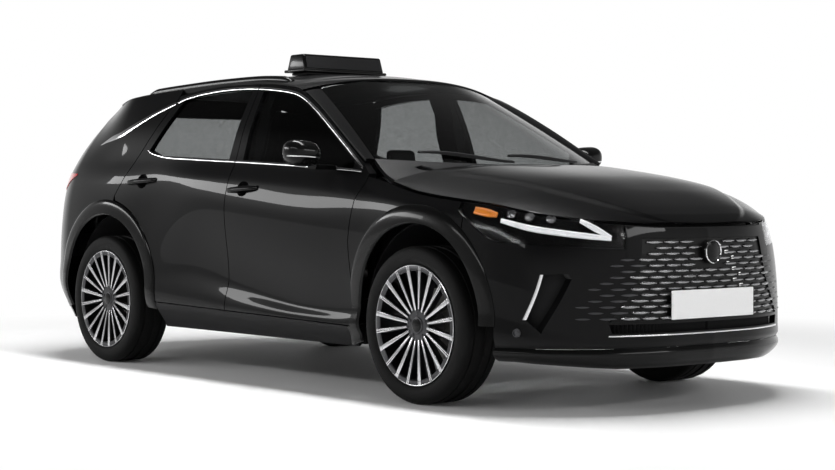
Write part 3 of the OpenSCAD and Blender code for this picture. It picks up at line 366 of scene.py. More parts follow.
FRONT_DOOR = ([[x - GAP, z] for x, z in FRONT_EDGE]
              + line(span(FRONT - 500, SPLIT + GAP / 2, 40), frame_top)
              + line(span(SPLIT + GAP / 2, FRONT - 520, 12), sill_line))
FRONT_WINDOW = (line(span(SPLIT + 66, FRONT - 580, 24), pane_bottom)
                + line(span(FRONT - 580, SPLIT + 52, 36), pane_top))
REAR_DOOR = (line(span(REAR + 420, SPLIT - GAP / 2, 12), sill_line)
             + line(span(SPLIT - GAP / 2, REAR + 500, 30), frame_top)
             + [list(p) for p in REAR_EDGE[::-1]])
REAR_WINDOW = ([[REAR + 352, bz(92)], [REAR + 440, belt(REAR + 440) + 18]]
               + line(span(REAR + 520, SPLIT - 66, 16), pane_bottom)
               + line(span(SPLIT - 52, REAR + 548, 24), pane_top))
print("door outlines", len(FRONT_DOOR), len(REAR_DOOR))

# %% [markdown]
# ## Making panels
# A car's panel is pressed from sheet metal. It could be drawn by hand with a subdivision surface, but
# that would drift off the CAD surface. So a panel starts as Blender's grid, its points are laid on the
# skin, and Solidify gives it the real thickness.

# %% Grids with a thickness


def only(obj):
    bpy.ops.object.select_all(action="DESELECT")
    obj.select_set(True)
    bpy.context.view_layer.objects.active = obj


def apply(obj, modifier):
    only(obj)
    bpy.ops.object.modifier_apply(modifier=modifier.name)


def grid_piece(name, points):
    """A grid whose rows run forwards and whose columns run up and over to the right; its front faces out."""
    points = np.asarray(points, float)
    n, m = points.shape[:2]
    bpy.ops.mesh.primitive_grid_add(x_subdivisions=m - 1, y_subdivisions=n - 1, size=1)
    obj = bpy.context.object
    obj.name = name
    obj.data.vertices.foreach_set("co", (points * MM).ravel())
    obj.data.update()
    return obj


def thicken(obj, depth, weights=None):
    mod = obj.modifiers.new("thickness", "SOLIDIFY")
    mod.thickness, mod.offset = depth * MM, -1
    if weights is not None:
        group = obj.vertex_groups.new(name="depth")
        for i, w in enumerate(weights):
            group.add([i], float(w), "REPLACE")
        mod.vertex_group = "depth"
    apply(obj, mod)
    obj.vertex_groups.clear()
    return obj


def panel(name, points, depth, weights=None):
    """A grid of points with a thickness behind it; weights are shares of the depth, point by point."""
    return thicken(grid_piece(name, points), depth, weights)


def finish_panel(obj, angle=32):
    only(obj)
    bpy.ops.object.shade_smooth_by_angle(angle=math.radians(angle))
    return obj


# %% [markdown]
# Panels are cut along the drawn lines. Faces could be deleted along the line, but that leaves a ragged
# edge. A Boolean leaves a clean one. Its tool is an outline drawn out to a prism, or a cylinder round an
# axle.

# %% Cutting
CAR_SIDE = 2000.0  # a prism of this length reaches past the car's side
ARCH_STEPS, ARCH_REACH = 180, 3  # the reach is in metres, right across the car


def prism(points, across, lo, hi):
    """A prism over a drawing: across the car from a side view, or along it from a front view."""
    pts = np.asarray(points, float)
    bpy.ops.mesh.primitive_circle_add(vertices=len(pts), fill_type="NGON")
    obj = bpy.context.object
    flat = np.full(len(pts), lo)
    co = np.c_[pts[:, 0], flat, pts[:, 1]] if across else np.c_[flat, pts[:, 0], pts[:, 1]]
    obj.data.vertices.foreach_set("co", (co * MM).ravel())
    obj.data.update()
    move = Vector((0, hi - lo, 0) if across else (hi - lo, 0, 0)) * MM
    bpy.ops.object.mode_set(mode="EDIT")
    bpy.ops.mesh.select_all(action="SELECT")
    bpy.ops.mesh.extrude_region_move(TRANSFORM_OT_translate={"value": move})
    bpy.ops.mesh.select_all(action="SELECT")
    bpy.ops.mesh.normals_make_consistent(inside=False)
    bpy.ops.object.mode_set(mode="OBJECT")
    return obj


def side_prism(points):
    return prism(points, True, 0, CAR_SIDE)


def front_prism(points, lo, hi):
    return prism(points, False, lo, hi)


def placed():
    """The primitive just added, with its place, turn and size applied to its mesh."""
    obj = bpy.context.object
    only(obj)
    bpy.ops.object.transform_apply(location=True, rotation=True, scale=True)
    return obj


def wheel_hole(x, r):
    bpy.ops.mesh.primitive_cylinder_add(vertices=ARCH_STEPS, radius=r * MM, depth=ARCH_REACH,
                                        location=(x * MM, 0, ARCH_Z * MM), rotation=(math.pi / 2, 0, 0))
    return placed()


def carve(obj, cutter, operation):
    mod = obj.modifiers.new("cut", "BOOLEAN")
    mod.operation, mod.object, mod.solver = operation, cutter, "MANIFOLD"
    apply(obj, mod)
    bpy.data.objects.remove(cutter)
    return obj


# %% [markdown]
# The car is the same on both sides. A Mirror modifier could make the other half, but doors and wheels on
# the right ride other bodies. So the left piece is copied, and the copy is turned over in edit mode.

# %% Copies


def mirrored(obj, name):
    """The same piece on the other side of the car."""
    only(obj)
    bpy.ops.object.duplicate()
    twin = bpy.context.object
    twin.name = name
    bpy.ops.object.mode_set(mode="EDIT")
    bpy.ops.mesh.select_all(action="SELECT")
    bpy.ops.transform.resize(value=(1, -1, 1), center_override=(0, 0, 0))
    bpy.ops.mesh.flip_normals()
    bpy.ops.object.mode_set(mode="OBJECT")
    return twin


def join(pieces, name):
    bpy.ops.object.select_all(action="DESELECT")
    for p in pieces:
        p.select_set(True)
    bpy.context.view_layer.objects.active = pieces[0]
    bpy.ops.object.join()
    pieces[0].name = name
    return pieces[0]


def weld(obj):
    """Merges the seam of a turned or closed shape and points its faces outwards."""
    only(obj)
    bpy.ops.object.mode_set(mode="EDIT")
    bpy.ops.mesh.select_all(action="SELECT")
    bpy.ops.mesh.remove_doubles(threshold=1e-5)
    bpy.ops.mesh.normals_make_consistent(inside=False)
    bpy.ops.object.mode_set(mode="OBJECT")
    return obj


# %% [markdown]
# Round pieces are turned: a profile goes round an axle, as on a lathe. Spin could do it, but a grid of
# points keeps the rows in order. Box-like pieces start from a cube whose corners go to their places, and
# a bevel rounds its edges as a mould would.

# %% Turned pieces and blocks
FULL_TURN = 2 * math.pi
CUBE_ORDER = [0, 4, 6, 2, 1, 5, 7, 3]  # a new cube's points, round the bottom and then round the top


def lathe(name, profile, turns, centre):
    """A profile of [radius, distance outwards] turned round a wheel's axle."""
    r, out = np.asarray(profile, float).T
    x, y, z = centre
    angles = np.linspace(0, FULL_TURN, turns + 1)
    rows = [np.c_[x + r * math.cos(a), y + out, z + r * math.sin(a)] for a in angles]
    return weld(grid_piece(name, rows))


def block(name, corners, bevel=0.0, segments=2):
    """A cube whose eight corners go to given places: four of the bottom, then the four above them."""
    bpy.ops.mesh.primitive_cube_add(size=1)
    obj = bpy.context.object
    obj.name = name
    co = np.zeros((8, 3))
    co[CUBE_ORDER] = np.asarray(corners, float) * MM
    obj.data.vertices.foreach_set("co", co.ravel())
    obj.data.update()
    weld(obj)
    if bevel:
        mod = obj.modifiers.new("edge", "BEVEL")
        mod.width, mod.segments, mod.limit_method = bevel * MM, segments, "NONE"
        apply(obj, mod)
    return obj


# %% [markdown]
# Every finished piece rides on a body of the frame, so that it moves with its joint, and it may stand for
# a CAD node. This could be said piece by piece. One function says it for all, so that none is forgotten.

# %% Keeping a piece
made = []


def keep(obj, body, finish, *replaced):
    """A finished piece: it gets its finish, rides on a body and may stand for CAD nodes."""
    obj.data.materials.clear()
    obj.data.materials.append(FINISH[finish])
    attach(obj, body)
    if replaced:
        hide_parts(*replaced)
    made.append(obj.name)
    return obj


def keep_pair(obj, body, finish, *replaced):
    """A left piece and its mirror image, as one piece."""
    name = obj.name.replace("_left", "")
    return keep(join([obj, mirrored(obj, name + "_twin")], name), body, finish, *replaced)


# %% [markdown]
# Bright strips and light blades lie on the skin. A strip could be a curve with a bevel, but that would
# not follow the skin's tilt. So it is a narrow grid of its own, raised in its middle.

# %% Strips


def strip(name, path, half, lift=3.0, depth=5.0, n=60):
    """A crowned strip on the skin along [place on the side, height]; half is its half width along the way."""
    s = np.linspace(path[0][0], path[-1][0], n)
    z = np.ravel(smooth(s, path))
    w = np.interp(np.linspace(0, 1, n), np.linspace(0, 1, len(half)), half)
    k = np.linspace(-1, 1, 7)
    rows = [Station(a).at(b + c * k, -lift * (1 - 0.5 * k**4)) for a, b, c in zip(s, z, w)]
    return finish_panel(panel(name, rows, depth), 50)


# %% [markdown]
# ## Doors
# A real door is thick below the window line, where its lock and window winder sit, and thin round the
# glass. It could be built from two shells. One grid with a weight for its depth does the same, and the
# outline and the window are then cut from it. The left side is modelled and the right side is its mirror
# image.

# %% Doors
LEVELS = np.concatenate([np.linspace(0.7, 1, 4)[:-1], np.linspace(1, 5, 53)[:-1], np.linspace(5, 7, 19)])
DEPTH = np.interp(LEVELS, [0, 4.7, 5.3, 7], [DOOR_T, DOOR_T, FRAME_T, FRAME_T])
PANE_LEVELS = np.linspace(4.6, 7, 30)


def door(name, places, outline, window):
    obj = panel(name, level_grid(places, LEVELS), DOOR_T, np.tile(DEPTH / DOOR_T, len(places)))
    carve(obj, side_prism(outline), "INTERSECT")
    carve(obj, side_prism(window), "DIFFERENCE")
    return obj


def glass(name, places, window):
    inset = (FRAME_T - GLASS_T) / 2
    obj = panel(name, level_grid(places, PANE_LEVELS, inset), GLASS_T)
    return finish_panel(carve(obj, side_prism(window), "INTERSECT"))


front_door = door("front_door_left", span(SPLIT - 20, FRONT - 400, 72), FRONT_DOOR, FRONT_WINDOW)
rear_door = door("rear_door_left", span(REAR + 60, SPLIT + 20, 72), REAR_DOOR, REAR_WINDOW)
carve(rear_door, wheel_hole(REAR, ARCH_R + ARCH_TRIM + GAP), "DIFFERENCE")
front_glass = glass("front_window_left", span(SPLIT, FRONT - 500, 60), FRONT_WINDOW)
rear_glass = glass("rear_window_left", span(REAR + 250, SPLIT, 60), REAR_WINDOW)
print("front door faces", len(front_door.data.polygons))

# %% [markdown]
# The handle is a bar that stands off the skin over a round hollow for the fingers. A bent cube would do
# from afar, but its ends have to run into the skin, so it is a small grid that rises from the skin and
# falls back to it. The hollow is cut with a flattened sphere.

# %% Handles
HANDLE_REACH, HANDLE_HALF, HANDLE_EDGE, HANDLE_RISE = 30, 15, 4, 0.05
BOWL_SIZE = (0.054, 0.024, 0.045)  # half sizes in metres


def handle(x0, x1, z):
    """A pull bar that stands off the skin in its middle and runs into it at both ends."""
    rows = []
    a = np.radians(np.linspace(-90, 90, 13))
    for x in span(x0, x1, 40):
        t = (x - x0) / (x1 - x0)
        up = HANDLE_REACH * math.sin(math.pi * np.clip(t, 0.001, 0.999)) ** 0.35
        tall = HANDLE_HALF * (0.75 + 0.25 * math.sin(math.pi * t))
        zz = z + (x - x0) * HANDLE_RISE + tall * np.sin(a)
        rows.append(Station(x).at(zz, -(HANDLE_EDGE + (up - HANDLE_EDGE) * np.cos(a) ** 0.5)))
    return finish_panel(panel("handle", rows, 5), 50)


def bowl(skin, x, z):
    """A round hollow in the skin behind a handle, where the fingers go."""
    place = Station(x).at(z)[0] * MM
    bpy.ops.mesh.primitive_uv_sphere_add(segments=48, ring_count=24, radius=1, location=tuple(place),
                                         scale=BOWL_SIZE)
    carve(skin, placed(), "DIFFERENCE")


bowl(front_door, SPLIT + 150, 1017)
bowl(rear_door, REAR + 365, 1065)
front_door = join([front_door, handle(SPLIT + 15, SPLIT + 285, 1010)], "front_door_left")
rear_door = join([rear_door, handle(REAR + 222, REAR + 508, 1058)], "rear_door_left")
print("front door faces with its handle", len(front_door.data.polygons))

# %% [markdown]
# A bright strip runs over the windows and another one under them. Each could be one long piece, but it is
# cut at the doors' edges, so that each door carries its own length of it.

# %% Window strips
UPPER_REAR = [[-1698, 1288], [-1576, 1318], [-1447, 1344], [-1320, 1390], [-1175, 1444], [-1060, 1482],
              [-945, 1516], [-867, 1538], [-720, 1558]]
UPPER = UPPER_REAR + line(span(FRONT - 508, mid(0.31), 30)[::-1], lambda x: top_line(x) + 13)
LOWER = ([[-1100, 1250], [-1063, 1229], [-936, 1204]]
         + line(span(REAR + 620, FRONT - 508, 24), lambda x: belt(x) + 6))


def upper(x):
    return float(smooth(x, UPPER)[0])


def lower(x):
    return float(smooth(x, LOWER)[0])


front_way = span(SPLIT + 6, FRONT - 508, 50)
strips = {
    "front": [strip("trim", line(front_way, upper), [7, 7, 7, 5], n=90),
              strip("trim", line(front_way, lower), [6, 6, 6, 4], n=70)],
    "rear": [strip("trim", line(span(-932, SPLIT - 6, 40), upper), [8, 7, 7], n=60),
             strip("trim", line(span(-1092, SPLIT - 6, 40), lower), [3, 6, 6, 6, 6], n=70)],
}
for end, skin, pane in (("front", front_door, front_glass), ("rear", rear_door, rear_glass)):
    finish_panel(skin)
    trim = join(strips[end], f"{end}_trim_left")
    parts = ((skin, "body_paint", "door"), (pane, "tinted_glass", "glass"), (trim, "bright_trim", None))
    for piece, finish, node in parts:
        twin = mirrored(piece, piece.name.replace("left", "right"))
        for obj, side in ((piece, "left"), (twin, "right")):
            keep(obj, f"door_{end}_{side}", finish, *([f"{node}_{end}_{side}"] if node else []))
print("door pieces", len(made))

# %% [markdown]
# ## Side panels
# The wing covers the front wheel and ends at the door, the lamp, the bumper and the bonnet. Like the
# doors it is laid on the skin and cut to its outline, which is the door's own front edge on that side.
# Cut from the same line, the two keep an even gap.

# %% Wings
LAMP_LOW = [[NOSE - 790, bz(-192)], [NOSE - 551, bz(-356)], [NOSE - 325, bz(-385)], [NOSE - 25, bz(-402)],
            [NOSE + 160, bz(-408)]]
LAMP_START, LAMP_END, BUMPER_REAR, BUMPER_TOP, LIP_TOP = NOSE - 740, NOSE + 139, NOSE - 700, 690.0, 300.0
HEM = 8.0
SHUT = HEM + GAP
FRONT_ARCH, REAR_ARCH = ARCH_F + ARCH_TRIM + SEAT, ARCH_R + ARCH_TRIM + SEAT


def lamp_bottom(s):
    return float(smooth(s, LAMP_LOW)[0])


def shut_line(s):
    """The height where the next panel starts, a gap below the bonnet's hem."""
    return belt(s) - SHUT


lamp_edge, nose_edge = LAMP_START - GAP, BUMPER_REAR - GAP
WING = ([list(p) for p in FRONT_EDGE]
        + [[FRONT - 436, bz(40)], [lamp_edge, bz(40)], [lamp_edge, lamp_bottom(LAMP_START) - GAP],
           [nose_edge, lamp_bottom(BUMPER_REAR) - GAP], [nose_edge, 400], [FRONT - 510, 400]])
wing_points = band_grid(span(FRONT - 524, NOSE - 640, 74), lambda s: Station(s).level(2), shut_line, 44)
wing = panel("wing_left", wing_points, SKIN)
carve(wing, side_prism(WING), "INTERSECT")
carve(wing, wheel_hole(FRONT, FRONT_ARCH), "DIFFERENCE")
keep_pair(finish_panel(wing), "body", "body_paint", "wings")
print("wing outline", len(WING))

# %% [markdown]
# The rear quarter goes from the rear door to the tailgate and up to the roof. Its rear edge could be a
# straight cut. It follows the tailgate's own side instead, so the tail's section comes first: a table of
# the tailgate's middle line, half width and sweep, height by height.

# %% Tail section
ROOF_REAR = REAR - 268
SWEEP, TOP_DROP = 2.6, 34
# columns: height, x from the tail line up the middle, half width, how far the edges sit forwards
TAIL_SECTION = [[650, 18, 743, 185], [800, 10, 727, 190], [bz(-150), 38, 719, 188], [bz(-25), 96, 700, 180],
                [bz(150), 286, 640, 160], [bz(300), 450, 585, 125], [bz(395), 600, 566, 55],
                [bz(458), 714, 560, 0]]
TAIL_WINDOW = [[-560, bz(36)], [560, bz(36)], [470, bz(330)], [-470, bz(330)]]
TAIL_LAMP = [[TAIL + 150, bz(-170)], [TAIL + 330, bz(-120)], [TAIL + 560, bz(-46)], [TAIL + 560, bz(-34)],
             [TAIL + 150, bz(-20)]]


def tail_point(z, u, d=0.0):
    """A point of the tailgate at a height, from -1 at its right side to 1 at its left, d inside the skin."""
    v, w = smooth([z, z + 1], TAIL_SECTION)
    n = np.array([w[0] - v[0], -1.0])
    n /= np.linalg.norm(n)
    x = TAIL + v[0] + v[2] * abs(u) ** SWEEP - n[1] * d
    return [x, u * (v[1] - d), z - n[0] * d - TOP_DROP * abs(u) ** 3 * max(0.0, (z - bz(300)) / 158)]


print("tail at the window line", [round(float(c)) for c in tail_point(BELT, 1)])

# %% [markdown]
# With the tail's edge known, the quarter is cut like the wing. It also carries the end of the bright
# strip, which widens behind the rear door and runs out to a point.

# %% Quarters
QUARTER = ([[x - 1.3 * GAP, z] for x, z in REAR_EDGE]
           + line(span(REAR + 484, ROOF_REAR, 24), lambda x: roof_edge_z(x) - SEAT)
           + [[tail_point(z, 1)[0] + GAP, tail_point(z, 1)[2]] for z in np.linspace(bz(400), 696, 40)]
           + [[TAIL + 210, BUMPER_TOP + SEAT], [REAR - 400, BUMPER_TOP + SEAT], [REAR, ARCH_Z]])
quarter = panel("quarter_left", level_grid(span(TAIL + 120, REAR + 560, 96), np.linspace(1.2, 7, 76)), SKIN)
carve(quarter, side_prism(QUARTER), "INTERSECT")
carve(quarter, wheel_hole(REAR, REAR_ARCH), "DIFFERENCE")
carve(quarter, side_prism(TAIL_LAMP), "DIFFERENCE")
keep_pair(finish_panel(quarter), "body", "body_paint", "quarter_panels")
quarter_trim = strip("quarter_trim_left", line(span(-1698, -958, 40), upper), [2, 16, 18, 13, 9, 8], n=70)
keep_pair(quarter_trim, "body", "bright_trim")
print("quarter outline", len(QUARTER))

# %% [markdown]
# Gloss mouldings edge the wheel arches. A ring could be turned and pressed on to the side, but the side
# bulges there. So the moulding's points run along the arch and across its band, each at the skin's own
# width, and the band's middle is raised.

# %% Arch mouldings
BAND = np.array([0, 0.04, 0.10, 0.22, 0.4, 0.6, 0.8, 0.93, 1.0])
RAISED = np.array([-4, 4, 9, 10, 10, 10, 9, 6, 2])


def arch_ring(name, x, r, a0, a1):
    """A moulding round an arch: a thin lip, a flat raised band and an edge that meets the panel."""
    rows = []
    for a in np.radians(np.linspace(a0, a1, 110)):
        row = []
        for k, up in zip(BAND, RAISED):
            px, pz = x + (r + ARCH_TRIM * k) * math.cos(a), ARCH_Z + (r + ARCH_TRIM * k) * math.sin(a)
            row.append([px, flank_y(px, max(pz, 300)) + up, pz])
        rows.append(row)
    return panel(name, rows, 20)


foot = float(sill_line(FRONT - 510)[0]) - GAP
front_ring = arch_ring("arch_front_left", FRONT, ARCH_F, 196, 0)
ring_end = ([[FRONT - 510, foot]] + [list(p) for p in FRONT_EDGE[1:]]
            + [[NOSE, bz(0)], [NOSE, 0], [FRONT - 600, 0], [FRONT - 600, foot]])
carve(front_ring, side_prism(ring_end), "INTERSECT")
rear_ring = arch_ring("arch_rear_left", REAR, ARCH_R, 190, -6)
rings = join([front_ring, rear_ring], "arch_mouldings_left")
keep_pair(finish_panel(rings), "body", "gloss_black", "arch_trims")
print("moulding foot at", round(foot, 1))

# %% [markdown]
# The sill under the doors and the red tail lamp close the side. Both could be blocks, but they are seen
# along the car, so they lie on the skin too. The lamp is cut a little smaller than its hole and stands 4
# mm proud.

# %% Sills and tail lamps
SILL_LOW, LENS_PROUD = 236.0, 4
sill_points = band_grid(span(REAR + 450, FRONT - 510 - SEAT, 60), lambda s: SILL_LOW,
                        lambda s: float(sill_line(s)[0]) - GAP, 14)
sill = panel("sill_left", sill_points, 30)
carve(sill, wheel_hole(REAR, REAR_ARCH), "DIFFERENCE")
carve(sill, wheel_hole(FRONT, FRONT_ARCH), "DIFFERENCE")
keep_pair(finish_panel(sill), "body", "dark_plastic", "sill_trims")

lens_places = span(TAIL + 120, TAIL + 600, 40)
lens_points = band_grid(lens_places, lambda s: bz(-180), lambda s: bz(-10), 20, -LENS_PROUD)
lens = panel("tail_lens_left", lens_points, SKIN + LENS_PROUD)
inside = [[x - (SEAT if x > TAIL + 200 else 0), z + (bz(-60) - z) * 0.005] for x, z in TAIL_LAMP]
carve(lens, side_prism(inside), "INTERSECT")
carve(lens, side_prism(QUARTER), "INTERSECT")
keep_pair(finish_panel(lens), "body", "red_lens", "tail_lamps")
print("side panels", len(made))

# %% [markdown]
# ## Nose
# The bumper runs from arch to arch round the nose. Its top follows the lamps and then rises to the
# bonnet's front edge. It could be joined from corner pieces, but a real one is a single moulding, so one
# grid goes all the way round, and the grille, the lower slot and the side ducts are cut out of it from
# the front.

# %% Front bumper
GRILLE = [[-574, 420], [574, 420], [516, 487], [438, 600], [412, 715], [400, 788], [-400, 788], [-412, 715],
          [-438, 600], [-516, 487]]
DUCT = [[848, 428], [806, 370], [704, 612], [714, 634], [798, 630]]
SLOT_LOW = [[-560, 368], [560, 368], [574, 408], [-574, 408]]
MIDDLE = NOSE + 640  # the place along the side that falls on the middle of the nose
PAST = NOSE + 50  # cuts from the front start here, ahead of the nose


def bumper_top(s):
    return lamp_bottom(s) - 3 * SEAT if s < NOSE + 143 else belt(s) - SHUT - 4


places = np.concatenate([span(BUMPER_REAR, NOSE + 140, 70), span(NOSE + 146, NOSE + 185, 4),
                         span(NOSE + 195, MIDDLE, 44)])
bumper_points = round_nose(band_grid(places, lambda s: LIP_TOP + SEAT, bumper_top, 60))
bumper = panel("bumper_front", bumper_points, 2 * SKIN)
carve(bumper, front_prism(GRILLE, NOSE - 400, PAST), "DIFFERENCE")
carve(bumper, front_prism(SLOT_LOW, NOSE - 300, PAST), "DIFFERENCE")
for side in (1, -1):
    carve(bumper, front_prism([[side * y, z] for y, z in DUCT], NOSE - 420, PAST), "DIFFERENCE")
carve(bumper, wheel_hole(FRONT, FRONT_ARCH), "DIFFERENCE")
keep(finish_panel(bumper), "body", "body_paint", "front_bumper")
print("front bumper faces", len(bumper.data.polygons))

# %% [markdown]
# A gloss lip juts out under the bumper, and the rear bumper closes the tail. The lip could be swept along
# a curve. It is a grid whose rows are one small section, carried along the bumper's lower edge, so that
# the two meet all the way.

# %% Lip and rear bumper
LIP_LOW, LIP_RISE, LIP_DEPTH = 208, 30, 60
LIP_SECTION = [[0, 34], [0.12, 18], [0.4, -4], [0.7, -12], [1, -2]]
TAIL_MIDDLE = TAIL - 640  # the place along the side that falls on the middle of the tail
rows = []
for s in np.concatenate([span(NOSE - 700, NOSE + 150, 50), span(NOSE + 160, MIDDLE, 30)]):
    st, low = Station(s), LIP_LOW + LIP_RISE * min(1.0, max(0.0, (NOSE + 100 - s) / 500))
    row = []
    for k in np.linspace(0, 1, 16):
        d = float(smooth(k, LIP_SECTION)[0])
        row.append([*st.at(LIP_TOP, d)[0][:2], low + k * (LIP_TOP - low)])
    rows.append(row)
lip = panel("lip", round_nose(np.array(rows)), LIP_DEPTH)
carve(lip, wheel_hole(FRONT, FRONT_ARCH), "DIFFERENCE")
keep(finish_panel(lip), "body", "gloss_black", "front_lip")

rear_places = np.concatenate([span(TAIL_MIDDLE, TAIL - 145, 40)[:-1], span(TAIL - 145, TAIL + 560, 60)])
rear_points = band_grid(rear_places, lambda s: Station(s).rows[0][0], lambda s: BUMPER_TOP, 44)
rear_bumper = panel("bumper_rear", round_tail(rear_points), 2 * SKIN)
carve(rear_bumper, wheel_hole(REAR, REAR_ARCH), "DIFFERENCE")
keep(finish_panel(rear_bumper), "body", "body_paint", "rear_bumper")
print("lip rows", len(rows))

# %% [markdown]
# On a real car, seals and inner panels stop the eye at every gap. Without them light would show through
# the body. The gaps could be made narrower, but the panels need their room to move. So dark bands lie
# behind them.

# %% Seals and inner panels
# a seal under the bonnet's front edge, whose top ends 0.5 mm above the shut line
seal = band_grid(span(LAMP_START, MIDDLE, 90), lambda s: shut_line(s) - 30, lambda s: shut_line(s) + 0.5, 4,
                 20.0)
keep(finish_panel(panel("nose_seal", round_nose(seal), 30)), "body", "dark_plastic")
# bands behind the seam of rear bumper and quarter panel, and behind the tail lamp above it
BACKS = (("seam_band_left", REAR - 500, 600.0, 800.0), ("lamp_back_left", TAIL + 600, 800.0, 1150.0))
for name, last, low, high in BACKS:
    band = band_grid(span(TAIL + 180, last, 40), lambda s: low, lambda s: high, 4, 2 * SKIN + 4.0)
    keep_pair(finish_panel(panel(name, band, 4)), "body", "dark_plastic")
# a latch panel behind the gap under the tailgate
latch = band_grid(span(TAIL_MIDDLE, TAIL + 210, 48), lambda s: 600.0, lambda s: 740.0, 4, 66.0)
keep(finish_panel(panel("latch_panel", round_tail(latch), 5)), "body", "dark_plastic")
# a radiator cover behind the seal, which closes the view under the bonnet's front edge
cover = band_grid(span(NOSE + 20, MIDDLE, 60), lambda s: shut_line(s) - 70, lambda s: shut_line(s) + 13, 4,
                  100.0)
keep(finish_panel(panel("radiator_cover", round_nose(cover), 5)), "body", "dark_plastic")
print("seals", len(made))

# %% [markdown]
# Each rear pillar turns in from the quarter's edge and ends in a channel beside the tailgate. The
# quarter's edge could simply be drawn further in, but it would then show a sharp fold. A separate return
# follows the tailgate's side at a few millimetres, height by height.

# %% Rear pillar returns
rows = []
for z in np.linspace(1085, 1552, 60):
    x, y, h = tail_point(z, 1)
    edge = np.array([Station(s).at(h)[0] for s in span(x - 90, x + 30, 30)])
    outer = np.interp(x + GAP, edge[:, 0], edge[:, 1]) - 4
    rows.append([[x + GAP, outer, h], [x + 9, (outer + y + 9) / 2, h], [x + 10, y + 9, h], [x + 14, y + 6, h],
                 [x + 50, y - 2, h], [x + 62, y - 60, h]])
keep_pair(finish_panel(panel("pillar_return_left", rows, 4)), "body", "body_paint")
print("return rows", len(rows))

# %% [markdown]
# ## Grille
# The grille is a dark plate with staggered rows of lens-shaped blades, and the rows run out on to the
# bumper as shorter and shorter spikes. An array modifier could repeat a blade, but not along a curved
# nose with blades that shrink. One function lays a blade on the nose at any place, so two loops make them
# all.

# %% Grille blades
nose_s = np.linspace(NOSE - 520, MIDDLE, 260)
nose_stations = [Station(s) for s in nose_s]
nose_rows = {}


def nose_point(y, z, heights, out):
    """Points on the nose at a distance from the middle, for some heights near z."""
    key = round(z)
    if key not in nose_rows:
        nose_rows[key] = np.array([st.at(z)[0][1] for st in nose_stations])
    s = np.interp(abs(y), nose_rows[key][::-1], nose_s[::-1])
    p = Station(s).at(heights, -np.asarray(out, float))
    p[:, 1] *= 1 if y >= 0 else -1
    return p


def blade(y, z, long, tall, lift):
    """A lens shape on the nose, raised in its middle and sharp at both ends."""
    k = np.linspace(-1, 1, 5)
    rows = []
    for t in np.linspace(-1, 1, 9):
        heights = z + k * (0.5 + tall / 2 * (1 - t * t) ** 0.8)
        rows.append(nose_point(y - t * long / 2, z, heights, lift * (1 - 0.7 * k * k) * (1 - 0.6 * t * t)))
    return grid_piece("blade", rows)


BOSS_Z, BOSS_R = 724.0, 54.0
ROWS, ROW_STEP, ROW_LOW, PITCH = 14, 26, 434, 96
blades, spikes = [], []
for i in range(ROWS):
    z = ROW_LOW + ROW_STEP * i
    reach = 600 + (400 - 600) * (z - 396) / 392
    spike_end = reach + 60 + 90 * (788 - z) / 392
    for k in range(-7, 8):
        y = (k + (i % 2) / 2) * PITCH
        behind_boss = abs(y) < BOSS_R + 38 and abs(z - BOSS_Z) < BOSS_R + 6
        behind_plate = abs(y) < 250 and z < 545
        if abs(y) < reach - 50 and not behind_boss and not behind_plate:
            blades.append(blade(y, z, 88, 13, 6))
        elif reach - 50 <= abs(y) < spike_end and z < 700:
            far = (abs(y) - reach) / 150
            spikes.append(blade(y, z, 70 - 26 * far, 10 - 4 * far, 3))
print("blades", len(blades), "spikes", len(spikes))
rows_of = ((blades, "grille_blades", "blade_metal"), (spikes, "bumper_spikes", "dark_alloy"))
for pieces, name, finish in rows_of:
    keep(finish_panel(thicken(join(pieces, name), 7), 40), "body", finish)

# %% [markdown]
# A plain round boss with a bright ring sits in the grille's upper middle. It could be a cylinder, but a
# turned profile gives it a soft edge. It is turned round the car's cross axis, like a wheel, and then
# faced forwards.

# %% Boss
boss = lathe("boss", [[0, 0], [44, 0], [47, -2], [47, -6], [0, -6], [0, 0]], 64, (0, 0, 0))
ring = lathe("boss_ring", [[47, -8], [54, -8], [54, 1], [51, 4], [48, 1], [47, -8]], 64, (0, 0, 0))
for piece, finish in ((boss, "gloss_black"), (ring, "bright_trim")):
    co = np.array([v.co for v in piece.data.vertices])
    faced = np.c_[co[:, 1] + (NOSE - 3) * MM, co[:, 0], co[:, 2] + BOSS_Z * MM]
    piece.data.vertices.foreach_set("co", faced.ravel())
    weld(piece)
    keep(finish_panel(piece, 40), "body", finish)
print("boss faces", len(boss.data.polygons))

# %% [markdown]
# Under the grille a slot with fins lies behind a thin bright line. The ducts at the corners have a bright
# outer edge and a small fog lamp beside it. Fins could be cut one by one. A grid whose rows step in and
# out gives them all in one piece.

# %% Slot, ducts and fog lamps
FIN_IN, FIN_STEP = -34, -12
fin_heights = np.linspace(362, 414, 6)
rows = [nose_point(y, 388, fin_heights, np.full(6, FIN_IN + FIN_STEP * (i % 2)))
        for i, y in enumerate(np.linspace(580, -580, 117))]
keep(finish_panel(panel("slot_fins", rows, 6), 20), "body", "dark_plastic")
k = np.linspace(-1, 1, 5)
rows = [nose_point(y, 358, 358 + 4 * k, 3 - 2 * k * k) for y in np.linspace(575, -575, 101)]
keep(finish_panel(panel("slot_line", rows, 6), 50), "body", "bright_trim")
rows = []
for t in np.linspace(0, 1, 30):
    z = 430 + 200 * t
    y = 852 + (801 - 852) * t
    rows.append([nose_point(y + d, z, [z], [2.5 - abs(d) / 3])[0] for d in (-5, -2, 2, 5)])
keep_pair(finish_panel(panel("duct_edge_left", rows, 6), 50), "body", "bright_trim")
back_heights, back_in = np.linspace(350, 650, 12), np.full(12, -70.0)
rows = [nose_point(y, 500, back_heights, back_in) for y in np.linspace(880, 660, 12)]
keep_pair(finish_panel(panel("duct_back_left", rows, 6)), "body", "dark_plastic")


